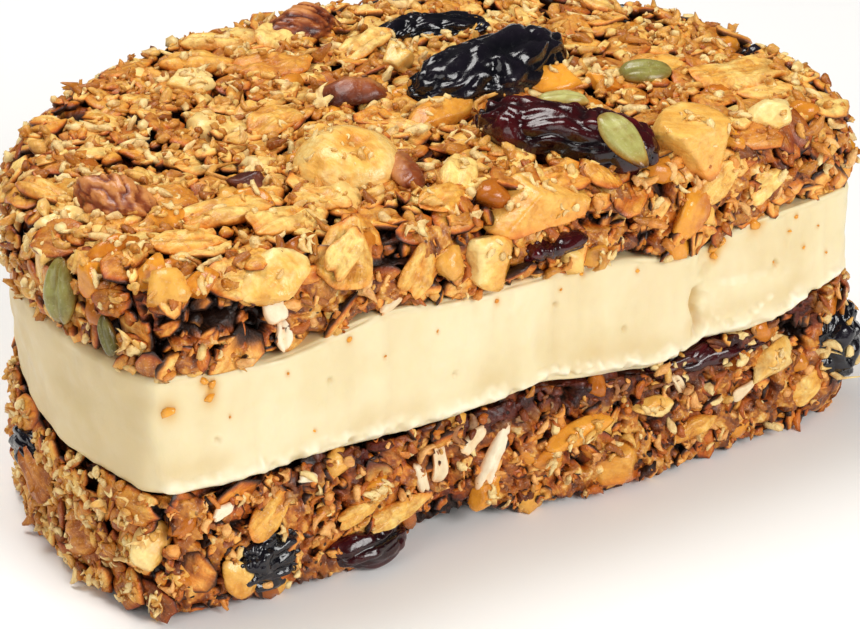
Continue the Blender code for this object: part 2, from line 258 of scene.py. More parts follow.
def lumps(points, size, seed):
    """Heights from -1 to 1: random numbers at the corners of cells of that size, blended
    between the corners by an S curve."""
    at = points / size
    cell = np.floor(at).astype(np.int64)
    part = at - cell
    ease = part * part * (3 - 2 * part)
    total = 0.0
    for corner in itertools.product((0, 1), repeat=3):
        weight = np.prod(np.where(corner, ease, 1 - ease), axis=-1)
        total = total + weight * dice(cell + corner, seed)
    return 2 * total - 1


def cells(points, size, seed):
    """For each point the distance to the nearest middle, as a share of the size, and that
    middle's own random number. Each cell of the size holds one middle at a random place."""
    at = points / size
    cell = np.floor(at).astype(np.int64)
    nearest = np.full(at.shape[:-1], 9.0)
    number = np.zeros(at.shape[:-1])
    for step in itertools.product((-1, 0, 1), repeat=3):
        near = cell + step
        middle = near + np.stack([dice(near, seed + k) for k in (1, 2, 3)], axis=-1)
        gap = np.linalg.norm(at - middle, axis=-1)
        closer = gap < nearest
        nearest = np.where(closer, gap, nearest)
        number = np.where(closer, dice(near, seed + 4), number)
    return nearest, number


def between(value, low, high):
    """0 below low, 1 above high and an S curve between."""
    share = np.clip((value - low) / (high - low), 0, 1)
    return share * share * (3 - 2 * share)


# %% [markdown]
# ## The skin of a layer
#
# Each layer is a turned shape whose rim isn't round. Its skin is a function of two
# parameters: the direction round the middle, and how far down the profile, from the middle of
# its upper face over the rounded edge, down the side and in under the base. A lathe could not
# follow the straight cut, and a Boolean cut would leave no even grid to shape.

# %% A layer as a grid
CUT_NEARER = 1.1  # how much less than the rim the cut is drawn in, as the knife leaves it flat


def side_reach(turn, inset):
    """Distance from the round's middle to its side: the superellipse and the cut, each drawn
    in by the inset, blended by a high power so that their corner is slightly rounded."""
    across, along = np.cos(turn), np.sin(turn)
    shares = np.abs(across) / (HALF_LENGTH - inset), np.abs(along) / (REAR_REACH - inset)
    rim = (shares[0] ** RIM_POWER + shares[1] ** RIM_POWER) ** (-1 / RIM_POWER)
    cut = (CUT_OFFSET + CUT_NEARER - inset) / np.maximum(-along, 0.0001)
    return (rim**-CORNER_POWER + cut**-CORNER_POWER) ** (-1 / CORNER_POWER)


CUT_CLOSER = 2.2  # columns stand this many times closer on the cut, which is seen most
CUT_MARGIN = 0.4  # how far behind the cut the outline still counts as the cut
FINE_TURNS = 20001


def even_turns(count):
    """Directions that divide the outline into equal lengths, anticlockwise from mid-cut, with
    lengths on the cut counted CUT_CLOSER times."""
    turn = np.linspace(-math.pi / 2, 1.5 * math.pi, FINE_TURNS)
    reach = side_reach(turn, 0.0)
    steps = np.hypot(np.diff(reach * np.cos(turn)), np.diff(reach * np.sin(turn)))
    steps = steps * np.where((reach * np.sin(turn))[1:] < CUT_MARGIN - CUT_OFFSET, CUT_CLOSER, 1.0)
    walked = np.concatenate([[0.0], np.cumsum(steps)])
    return np.interp(np.arange(count) / count * walked[-1], walked, turn)


def swell(x, y, hills):
    """Height added by hills along X: bell curves that fade behind the cut."""
    rise = sum(height * np.exp(-(((x - at) / wide) ** 2)) for at, wide, height in hills)
    return rise * np.exp(-(((y - FRONT_Y) / SWELL_DEPTH) ** 2))


def forward(x, y, share, bulges):
    """How far the cut stands forward: bell curves along X, blended from base to top by share."""
    push = sum(
        (low + share * (high - low)) * np.exp(-(((x - at) / wide) ** 2))
        for at, wide, low, high in bulges
    )
    return push * np.exp(-(((y - FRONT_Y) / BULGE_DEPTH) ** 2))


def lower_top(x, y):
    """Height of the lower cookie's upper face."""
    return LOWER_TOP + swell(x, y, LOWER_SWELLS)


def upper_base(x, y):
    """Height of the joint under the upper cookie."""
    return UPPER_BASE + swell(x, y, UPPER_SWELLS)


def profile(top_edge, base_edge, top_round, base_round, rows):
    """Down the layer as three arrays: reach as a share on the flat faces, how far in from the
    side, and height as a share. Flat face, quarter ellipse, side, quarter ellipse, flat face."""
    cap, edge, side = rows
    out = np.linspace(0.03, 1.0, cap)[:-1] ** 0.8
    turn = np.linspace(0, math.pi / 2, edge)
    down = np.linspace(1 - top_round, base_round, side + 2)[1:-1]
    reach = np.concatenate([out, np.ones(2 * edge + side), out[::-1]])
    top_pull, top_share = top_edge * (1 - np.sin(turn)), 1 - top_round * (1 - np.cos(turn))
    base_pull, base_share = base_edge * (1 - np.cos(turn)), base_round * (1 - np.sin(turn))
    pull = [np.full(cap - 1, top_edge), top_pull, 0 * down, base_pull, np.full(cap - 1, base_edge)]
    share = [np.ones(cap - 1), top_share, down, base_share, np.zeros(cap - 1)]
    return reach, np.concatenate(pull), np.concatenate(share)


def layer_skin(base, top, bulges, inset, shape, around):
    """Points of a layer's skin: out by the reach in each direction, up by the share between
    its two faces, and forward by the bulges."""
    reach, pull, share = (part[:, None] for part in shape)
    turn = even_turns(around)[None, :]
    far = side_reach(turn, inset + pull) * reach
    x, y = far * np.cos(turn), MIDDLE_Y + far * np.sin(turn)
    low = base(x, y)
    z = low + share * (top(x, y) - low)
    return np.stack([x, y - forward(x, y, share, bulges), z], axis=-1)


def outward(points):
    """Unit normals of a grid whose rows go down and whose columns go anticlockwise."""
    down = np.gradient(points, axis=0)
    east = np.roll(points, -1, axis=1) - np.roll(points, 1, axis=1)
    return unit(np.cross(down, east))


def level(height):
    """A flat face at a height."""
    return lambda x, y: height + 0 * x


def raised(face, gap):
    """The same face, higher by a gap."""
    return lambda x, y: face(x, y) + gap


FLAKES_OVER = 0.6  # how far flakes stand above the upper cookie's crumb
top_face = (raised(upper_base, 2 * JOINT), level(UPPER_TOP - FLAKES_OVER), TOP_BULGES)
bottom_face = (level(0.0), lower_top, BOTTOM_BULGES)
cream_reach = side_reach(-math.pi / 2, CREAM_INSET)
print(f"cream starts {cream_reach:.2f} mm in front of the middle")

# %% [markdown]
# ## Colour
#
# Toasted oats run from cream through honey to burnt sugar. Every point of every flake
# carries `tint`, how pale it is, and `depth`, how far it is sunk between its neighbours. Depth
# turns it amber where syrup pools, and darker still to near black as painted shade in the
# crevices. Oats also carry `stain`, how far fruit has dyed them, and `grain`, a place among
# their own fibres, which draws fine streaks along each. Painting a texture would need an
# unwrapped mesh. A few marks on the points and fine noise do the same.

# %% Node helpers
def add(tree, kind, **settings):
    """A new node with its settings."""
    node = tree.nodes.new(kind)
    for name, value in settings.items():
        setattr(node, name, value)
    return node


def set_inputs(node, **values):
    """Constants for a node's inputs, with _ in place of a space in their names."""
    for name, value in values.items():
        node.inputs[name.replace("_", " ")].default_value = value
    return node


def ramp(tree, source, stops):
    """A colour ramp through (place, colour) stops."""
    node = add(tree, "ShaderNodeValToRGB")
    band = node.color_ramp
    while len(band.elements) < len(stops):
        band.elements.new(0.5)
    for element, (place, colour) in zip(band.elements, stops):
        element.position = place
        element.color = (*colour, 1.0)
    tree.links.new(source, node.inputs["Fac"])
    return node.outputs["Color"]


def mix(tree, kind, share, first, second):
    """Two colours blended. Each of the three is a socket or a constant."""
    node = add(tree, "ShaderNodeMix", data_type="RGBA", blend_type=kind)
    for index, value in ((0, share), (6, first), (7, second)):
        if isinstance(value, bpy.types.NodeSocket):
            tree.links.new(value, node.inputs[index])
        else:
            node.inputs[index].default_value = value
    return node.outputs[2]


def maths(tree, operation, first, second=0.0):
    """One sum on two numbers, each a socket or a constant."""
    node = add(tree, "ShaderNodeMath", operation=operation)
    for index, value in enumerate((first, second)):
        if isinstance(value, bpy.types.NodeSocket):
            tree.links.new(value, node.inputs[index])
        else:
            node.inputs[index].default_value = value
    return node.outputs[0]


def stretch(tree, source, low, high, to_low, to_high):
    """A number moved from one range to another, and kept inside it."""
    node = add(tree, "ShaderNodeMapRange")
    set_inputs(node, From_Min=low, From_Max=high, To_Min=to_low, To_Max=to_high)
    tree.links.new(source, node.inputs["Value"])
    return node.outputs["Result"]


def noise(tree, size_mm, detail, warp=0.0, coordinates=None):
    """Noise whose features are about a size, on the object's own coordinates."""
    node = add(tree, "ShaderNodeTexNoise")
    set_inputs(node, Scale=1 / (size_mm * MM), Detail=detail, Distortion=warp)
    if coordinates is None:
        coordinates = add(tree, "ShaderNodeTexCoord").outputs["Object"]
    tree.links.new(coordinates, node.inputs["Vector"])
    return node.outputs["Fac"]


def mark(tree, name):
    """A number that the mesh carries on its points."""
    return add(tree, "ShaderNodeAttribute", attribute_name=name).outputs["Fac"]


def new_group(name, inputs, outputs):
    """An empty shader node group with named sockets."""
    group = bpy.data.node_groups.new(name, "ShaderNodeTree")
    for direction, sockets in (("INPUT", inputs), ("OUTPUT", outputs)):
        for socket, kind in sockets:
            group.interface.new_socket(socket, in_out=direction, socket_type="NodeSocket" + kind)
    return group, add(group, "NodeGroupInput").outputs, add(group, "NodeGroupOutput").inputs


def place_group(tree, group, outputs, **values):
    """A group placed in a material, with sockets or constants for its inputs."""
    node = add(tree, "ShaderNodeGroup", node_tree=group)
    for name, value in values.items():
        target = node.inputs[name.replace("_", " ")]
        if isinstance(value, bpy.types.NodeSocket):
            tree.links.new(value, target)
        else:
            target.default_value = value
    return [node.outputs[name] for name in outputs]


# %% [markdown]
# Three effects are shared by all the toasted pieces, so each is a node group. The first turns
# a colour amber where syrup pools, then darker and near black as it sinks, which is painted
# shade between the pieces. The second makes small black pits, painted shade in tiny pores.
# The third gives the fine flour dust and darker bran that every grain carries, as a colour and
# as a height for bumps.

# %% Shared groups
AMBER_DYE = (0.98, 0.46, 0.12, 1.0)
# The next two colours are painted shade for the deepest places: a dark caramel brown, partly the syrup's
# own colour, and near black.
CARAMEL_AND_SHADE = (0.080, 0.020, 0.005, 1.0)
PORE_SHADE = (0.012, 0.004, 0.002, 1.0)
BRAN_DYE = (0.60, 0.38, 0.22, 1.0)
FLOUR = (0.90, 0.78, 0.56, 1.0)
FRUIT_DYE = (0.20, 0.07, 0.10, 1.0)
PIT_CELL = 1.1


def make_syrup_and_shade_group():
    """Color and Depth in, Color out: amber by half depth where syrup pools, then caramel and
    near black at 1, which is painted shade in the crevices.
    """
    group, given, made = new_group(
        "syrup and painted shade", (("Color", "Color"), ("Depth", "Float")), (("Color", "Color"),)
    )
    share = stretch(group, given["Depth"], 0.10, 0.6, 0.0, 0.9)
    dyed = mix(group, "MULTIPLY", share, given["Color"], AMBER_DYE)
    # Deeper: caramel brown, partly syrup and partly painted shade.
    deep = mix(group, "MIX", stretch(group, given["Depth"], 0.45, 0.8, 0.0, 0.9), dyed, CARAMEL_AND_SHADE)
    # Deepest: near black, painted shade in crevices and pores.
    black = mix(group, "MIX", stretch(group, given["Depth"], 0.72, 0.95, 0.0, 0.95), deep, PORE_SHADE)
    group.links.new(black, made["Color"])
    return group


def make_pit_group():
    """Amount in, Pits out: 1 in round dots up to 0.4 mm across, at most one in each cell, in
    patches, and 0 between them. The dots are painted black as shade in tiny pores, and dent
    the bumps."""
    group, given, made = new_group("pits", (("Amount", "Float"),), (("Pits", "Float"),))
    dots = add(group, "ShaderNodeTexVoronoi")
    set_inputs(dots, Scale=1 / (PIT_CELL * MM))
    group.links.new(add(group, "ShaderNodeTexCoord").outputs["Object"], dots.inputs["Vector"])
    dot = stretch(group, dots.outputs["Distance"], 0.14, 0.20, 1.0, 0.0)
    patches = stretch(group, noise(group, 3.0, 2.0), 0.46, 0.56, 0.0, 1.0)
    patchy = maths(group, "MULTIPLY", dot, patches)
    group.links.new(maths(group, "MULTIPLY", patchy, given["Amount"]), made["Pits"])
    return group


def make_bran_group():
    """Color in, Color and Height out: noise of 0.9 mm darkens and reddens, noise of 0.2 mm
    leaves pale dust, and both stand up a little."""
    inputs = (("Color", "Color"), ("Amount", "Float"))
    outputs = (("Color", "Color"), ("Height", "Float"))
    group, given, made = new_group("bran and dust", inputs, outputs)
    coarse = noise(group, 0.9, 4.0, 0.6)
    fine = noise(group, 0.22, 3.0)
    amount = maths(group, "MULTIPLY", stretch(group, coarse, 0.42, 0.70, 0.0, 1.0), given["Amount"])
    bran = mix(group, "MULTIPLY", amount, given["Color"], BRAN_DYE)
    dust = maths(group, "MULTIPLY", stretch(group, fine, 0.60, 0.75, 0.0, 0.5), given["Amount"])
    group.links.new(mix(group, "MIX", dust, bran, FLOUR), made["Color"])
    height = maths(group, "ADD", maths(group, "MULTIPLY", coarse, 1.4), fine)
    group.links.new(height, made["Height"])
    return group


SYRUP_AND_SHADE = make_syrup_and_shade_group()
PITS = make_pit_group()
BRAN = make_bran_group()
print("groups:", SYRUP_AND_SHADE.name, PITS.name, "and", BRAN.name)

# %% Materials for what is toasted
def new_material(name):
    """A material, its node tree and its Principled shader."""
    material = bpy.data.materials.new(name)
    material.use_nodes = True
    return material, material.node_tree, material.node_tree.nodes["Principled BSDF"]


def bump(tree, shader, height, strength, distance_mm):
    """Fine relief from a height."""
    node = add(tree, "ShaderNodeBump")
    set_inputs(node, Strength=strength, Distance=distance_mm * MM)
    tree.links.new(height, node.inputs["Height"])
    tree.links.new(node.outputs["Normal"], shader.inputs["Normal"])


CLOUDINESS = 0.40  # how much slow noise changes the tint
STREAKINESS = 0.55  # how much streaks along the grain change it


def toasted(name, stops, bran, dull, shiny, relief_mm, pitted=0.0):
    """Colour by tint, then bran and dust, then dyed by stain, turned amber by depth where syrup
    pools and darkened by it further as painted shade, and pitted with black dots of painted
    shade. Roughness runs from dull to shiny by noise, as syrup covers some places only."""
    material, tree, shader = new_material(name)
    clouds = maths(tree, "MULTIPLY", noise(tree, 2.2, 2.0), CLOUDINESS)
    uneven = maths(tree, "ADD", mark(tree, "tint"), clouds)
    grain = add(tree, "ShaderNodeAttribute", attribute_name="grain").outputs["Vector"]
    streaks = noise(tree, 0.42, 2.0, 0.3, grain)
    uneven = maths(tree, "ADD", uneven, maths(tree, "MULTIPLY", streaks, STREAKINESS))
    mean_noise = (CLOUDINESS + STREAKINESS) / 2
    colour = ramp(tree, maths(tree, "SUBTRACT", uneven, mean_noise), stops)
    colour, height = place_group(tree, BRAN, ("Color", "Height"), Color=colour, Amount=bran)
    colour = mix(tree, "MULTIPLY", mark(tree, "stain"), colour, FRUIT_DYE)
    # Depth: amber where syrup pools, then painted shade down to near black in the crevices.
    (colour,) = place_group(tree, SYRUP_AND_SHADE, ("Color",), Color=colour, Depth=mark(tree, "depth"))
    (pits,) = place_group(tree, PITS, ("Pits",), Amount=pitted)
    # The pits are black dots of painted shade where tiny pores would be.
    tree.links.new(mix(tree, "MIX", pits, colour, PORE_SHADE), shader.inputs["Base Color"])
    gloss = stretch(tree, noise(tree, 1.3, 3.0, 0.4), 0.35, 0.65, shiny, dull)
    tree.links.new(gloss, shader.inputs["Roughness"])
    set_inputs(shader, Coat_Weight=0.18, Coat_Roughness=0.16, Specular_IOR_Level=0.38)
    height = maths(tree, "ADD", height, maths(tree, "MULTIPLY", streaks, 1.6))
    height = maths(tree, "SUBTRACT", height, pits)
    bump(tree, shader, height, 0.6, relief_mm)
    return material


OAT_STOPS = (
    (0.0, (0.17, 0.040, 0.005)),
    (0.25, (0.40, 0.118, 0.010)),
    (0.50, (0.64, 0.240, 0.025)),
    (0.75, (0.84, 0.425, 0.062)),
    (1.0, (0.96, 0.690, 0.210)),
)
CRUMB_STOPS = (
    (0.0, (0.13, 0.030, 0.004)),
    (0.35, (0.37, 0.108, 0.010)),
    (0.65, (0.62, 0.245, 0.027)),
    (0.9, (0.85, 0.490, 0.110)),
    (1.0, (0.93, 0.710, 0.310)),
)
NUT_STOPS = (
    (0.0, (0.50, 0.150, 0.012)),
    (0.4, (0.76, 0.335, 0.042)),
    (0.75, (0.90, 0.530, 0.120)),
    (1.0, (0.95, 0.720, 0.280)),
)
SYRUP_STOPS = ((0.0, (0.24, 0.045, 0.004)), (0.5, (0.56, 0.170, 0.014)), (1.0, (0.84, 0.360, 0.036)))
COCONUT_STOPS = ((0.0, (0.66, 0.410, 0.180)), (0.5, (0.84, 0.660, 0.400)), (1.0, (0.92, 0.820, 0.600)))
PUMPKIN_STOPS = ((0.0, (0.10, 0.085, 0.022)), (0.5, (0.29, 0.270, 0.070)), (1.0, (0.52, 0.500, 0.170)))
ALMOND_STOPS = ((0.0, (0.07, 0.010, 0.004)), (0.5, (0.27, 0.060, 0.014)), (1.0, (0.62, 0.250, 0.070)))
# Name, stops, share of bran and dust, dullest and shiniest roughness, relief in mm and pits.
oat_finish = toasted("toasted_oats", OAT_STOPS, 0.8, 0.60, 0.32, 0.20)
crumb_finish = toasted("pressed_crumb", CRUMB_STOPS, 0.8, 0.62, 0.30, 0.22, 0.9)
floury_finish = toasted("floury_crumb", CRUMB_STOPS, 0.8, 0.62, 0.30, 0.22)
nut_finish = toasted("roasted_nut", NUT_STOPS, 0.45, 0.40, 0.18, 0.08)
syrup_finish = toasted("amber_syrup", SYRUP_STOPS, 0.3, 0.30, 0.12, 0.05)
coconut_finish = toasted("coconut", COCONUT_STOPS, 0.2, 0.70, 0.45, 0.05)
pumpkin_finish = toasted("pumpkin_kernel", PUMPKIN_STOPS, 0.5, 0.36, 0.18, 0.05)
almond_finish = toasted("almond_skin", ALMOND_STOPS, 0.3, 0.50, 0.26, 0.06)

# %% [markdown]
# ## The crumb under the flakes
#
# Between the flakes a pressed cookie is a mass of crumbs bound with syrup, with dark pores
# that run in from the surface. It is one closed skin for each cookie, a little behind the
# solid's, pushed out into small domes by cell noise and in again at the pores. Covering the
# whole cookie with loose crumbs alone would take many times as many faces.

# %% Crumb skins
TOP_ROWS = (40, 14, 26)
BOTTOM_ROWS = (16, 8, 44)
AROUND = 740
FLAKE_ROOM = 1.5  # how far the skin stands behind the outline, which the flakes then fill
CUT_ZONE = 6.0  # how far behind the front a place can be and still count as on the cut
# How far in the upper and lower edges are rounded, then how far up, as shares of the height.
TOP_EDGES = (2.6, 0.9, 0.44, 0.11)
BOTTOM_EDGES = (0.9, 1.7, 0.09, 0.16)
TOP_SEED, BOTTOM_SEED = 30, 60


def near_front(y):
    """1 near the plane of the cut, 0 behind it, blended between."""
    return between(FRONT_Y + CUT_ZONE - y, 0, 3)


def on_cut(points, normals):
    """1 on the cut, 0 on the rim and the flat faces, blended between."""
    return between(-normals[..., 1], 0.55, 0.85) * near_front(points[..., 1])


HOLLOWS = (  # middle, half sizes and depth of the caves between large pieces
    ((-31.8, -24.0, 28.6), (3.3, 4.0, 1.7), 2.6),
    ((-27.2, -24.0, 26.6), (1.8, 4.0, 1.3), 1.8),
    ((-13.2, -24.0, 29.6), (1.7, 4.0, 1.2), 2.0),
    ((-3.4, -24.0, 29.3), (1.4, 4.0, 1.0), 1.6),
    ((-35.8, -17.0, 27.0), (2.2, 4.0, 1.6), 2.0),
    ((-19.7, -9.0, 32.0), (1.5, 1.2, 3.0), 2.4),
    ((-24.8, -12.6, 32.0), (2.1, 1.2, 3.0), 2.0),
    ((-35.4, -7.2, 31.0), (1.2, 1.2, 3.0), 1.8),
    ((-27.2, -9.8, 32.0), (1.0, 1.3, 3.0), 1.8),
    ((23.6, -17.2, 32.0), (1.9, 1.4, 3.0), 1.8),
    ((-15.6, -20.2, 32.0), (1.7, 1.3, 3.0), 2.2),
    ((-7.5, -24.0, 1.2), (5.0, 4.0, 1.6), 1.8),
    ((30.2, -22.0, 10.6), (3.0, 4.0, 1.2), 1.8),
)


SMALL_CAVE = 1.5  # depth of the caves that come by lot
PORE_DEPTH = 1.6
SET_BACK = 0.9  # how far the crumb stands behind its even skin
CUT_FORWARD = 0.80  # how much of that is taken back on the cut


def hollow(points):
    """Depth of the named caves, bell shapes in three directions, and of small ones by lot."""
    named = sum(
        deep * np.exp(-((((points - np.array(middle)) / np.array(half)) ** 2).sum(axis=-1)))
        for middle, half, deep in HOLLOWS
    )
    return named + SMALL_CAVE * between(lumps(points, 2.1, 640), 0.50, 0.64)


def crumb_relief(points, normals, seed):
    """Height above the solid's skin and tint of a crumb skin: broad lumps, small lumps, domes
    of 1.5 and 0.7 mm, pores where a fine noise is high, and round holes on the cut."""
    cut = on_cut(points, normals)
    broad, small = lumps(points, 3.8, seed), lumps(points, 1.5, seed + 1)
    drawn = points + 0.5 * np.stack([lumps(points, 1.1, seed + 30 + k) for k in range(3)], -1)
    big_gap, big_number = cells(drawn, 1.5, seed + 2)
    fine_gap, fine_number = cells(drawn, 0.7, seed + 9)
    domes = 0.60 * (0.55 - big_gap**2) + 0.30 * (0.5 - fine_gap**2)
    pores = between(lumps(points, 0.85, seed + 20) + 0.5 * lumps(points, 2.4, seed + 21), 0.36, 0.66)
    hole_gap, hole_number = cells(drawn, 1.7, seed + 40)
    hole = 0.18 + 0.20 * hole_number
    holes = (1 - between(hole_gap, 0.75 * hole, 1.1 * hole)) * cut * (hole_number > 0.2)
    height = -SET_BACK + CUT_FORWARD * cut + 0.50 * broad + 0.35 * small + domes
    height = height - PORE_DEPTH * np.maximum(pores, holes) - hollow(points)
    tint = 0.44 + 0.65 * (big_number - 0.5) + 0.60 * (fine_number - 0.5)
    return height, tint


def stained(points):
    """1 where the lower cookie's crumb is dyed by fruit, in a band under the cream."""
    x, y, z = np.moveaxis(points, -1, 0)
    under = between(z - lower_top(x, y), -4.2, -1.6) * (z < UPPER_BASE - 4)
    along = between(x, -30, -22) * (1 - between(x, 31, 35)) * near_front(y)
    patchy = between(lumps(points, 3.2, 700) + 0.6 * between(x, -14, -4), -0.25, 0.45)
    return under * along * patchy


def crumb_skin(name, node, face, edges, rows, seed):
    """A cookie's crumb as a closed skin. Returns the even skin that it was raised from."""
    skin = layer_skin(*face, FLAKE_ROOM, profile(*edges, rows), AROUND)
    normals = outward(skin)
    height, tint = crumb_relief(skin, normals, seed)
    points = skin + height[..., None] * normals
    points[..., 2] = np.maximum(points[..., 2], 0.02)
    # Depth: painted shade in the pores, holes and caves, and a little more on the cut.
    depth = np.clip((0.22 - height) / 1.25 + 0.12 * on_cut(skin, normals), 0, 1)
    put_skin(name, points, crumb_finish, [node], {
        "tint": tint,
        "depth": depth,
        "grain": skin * 0.6,
        "stain": stained(points),
    })
    return skin, normals


top_skin = crumb_skin("upper_crumb", "top_cookie", top_face, TOP_EDGES, TOP_ROWS, TOP_SEED)
bottom_skin = crumb_skin(
    "lower_crumb", "bottom_cookie", bottom_face, BOTTOM_EDGES, BOTTOM_ROWS, BOTTOM_SEED
)

# %% [markdown]
# ## Where the big fruit and nuts lie
#
# The largest fruit and nuts have solids of their own, so their places come from the frame.
# Their lengths, turns and tips are repeated here, because a box can't tell how a thing is
# turned. Small pieces keep out of them.

# %% Big pieces
BIG = {  # node: length, width and height in mm, turn about Z and tip in degrees
    "raisin_rear": ((17.4, 8.2, 6.8), 3, -3),
    "cranberry_front": ((17.6, 7.0, 6.0), -55, 2),
    "raisin_far": ((11.0, 4.6, 3.2), -18, 0),
    "raisin_right_rim": ((7.0, 3.8, 3.4), 86, 0),
    "raisin_back_rim": ((6.0, 3.8, 3.2), 125, 0),
    "cranberry_cut": ((7.6, 4.4, 2.6), 4, 0),
    "macadamia": ((10.2, 9.4, 7.6), -35, 0),
    "nut_wedge": ((8.8, 5.0, 4.4), 0, 0),
    "peanut_right": ((6.0, 5.4, 5.4), 20, 0),
    "almond_left": ((7.4, 4.6, 4.6), -55, 0),
    "almond_rear": ((7.6, 4.8, 4.4), -5, 0),
    "raisin_corner": ((7.6, 8.0, 9.6), 0, 0),
    "raisin_cut": ((6.6, 4.6, 6.4), 0, 0),
    "cranberry_base": ((8.2, 4.6, 4.0), 0, 0),
    "cranberry_under_cream": ((15.0, 4.2, 2.6), 0, 0),
    "raisin_left_rim": ((6.0, 3.8, 4.4), 86, 0),
    "nut_base": ((7.8, 4.4, 5.0), 6, 0),
}


def middle_of(node):
    """The middle of a node's box, in mm."""
    low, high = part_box(node)
    return np.array((low + high) / 2) / MM


def axes_of(node):
    """The three directions of a big piece as rows: its length, its width and its height."""
    _, turn, tip = BIG[node]
    turn, tip = math.radians(turn), math.radians(tip)
    level_along = np.array([math.cos(turn), math.sin(turn), 0.0])
    across = np.array([-math.sin(turn), math.cos(turn), 0.0])
    up = np.array([0.0, 0.0, 1.0])
    along = math.cos(tip) * level_along - math.sin(tip) * up
    return np.stack([along, across, np.cross(along, across)])


def clear_of_big(points, share):
    """True where a point is outside every big piece, each drawn in or out by a share."""
    free = np.ones(len(points), bool)
    for node, (size, _, _) in BIG.items():
        local = (points - middle_of(node)) @ axes_of(node).T / (np.array(size) / 2 * share)
        free &= (local**2).sum(axis=1) > 1
    return free


print("big pieces:", len(BIG))

# %% [markdown]
# Smaller pieces that catch the eye also have places of their own: broad flakes, seeds, golden
# nuts, bits of amber syrup and white coconut. They are listed here, so that the scattered oats
# can keep clear of them, and are shaped further on. A random draw alone would mix the kinds
# evenly, and a real cookie is uneven.

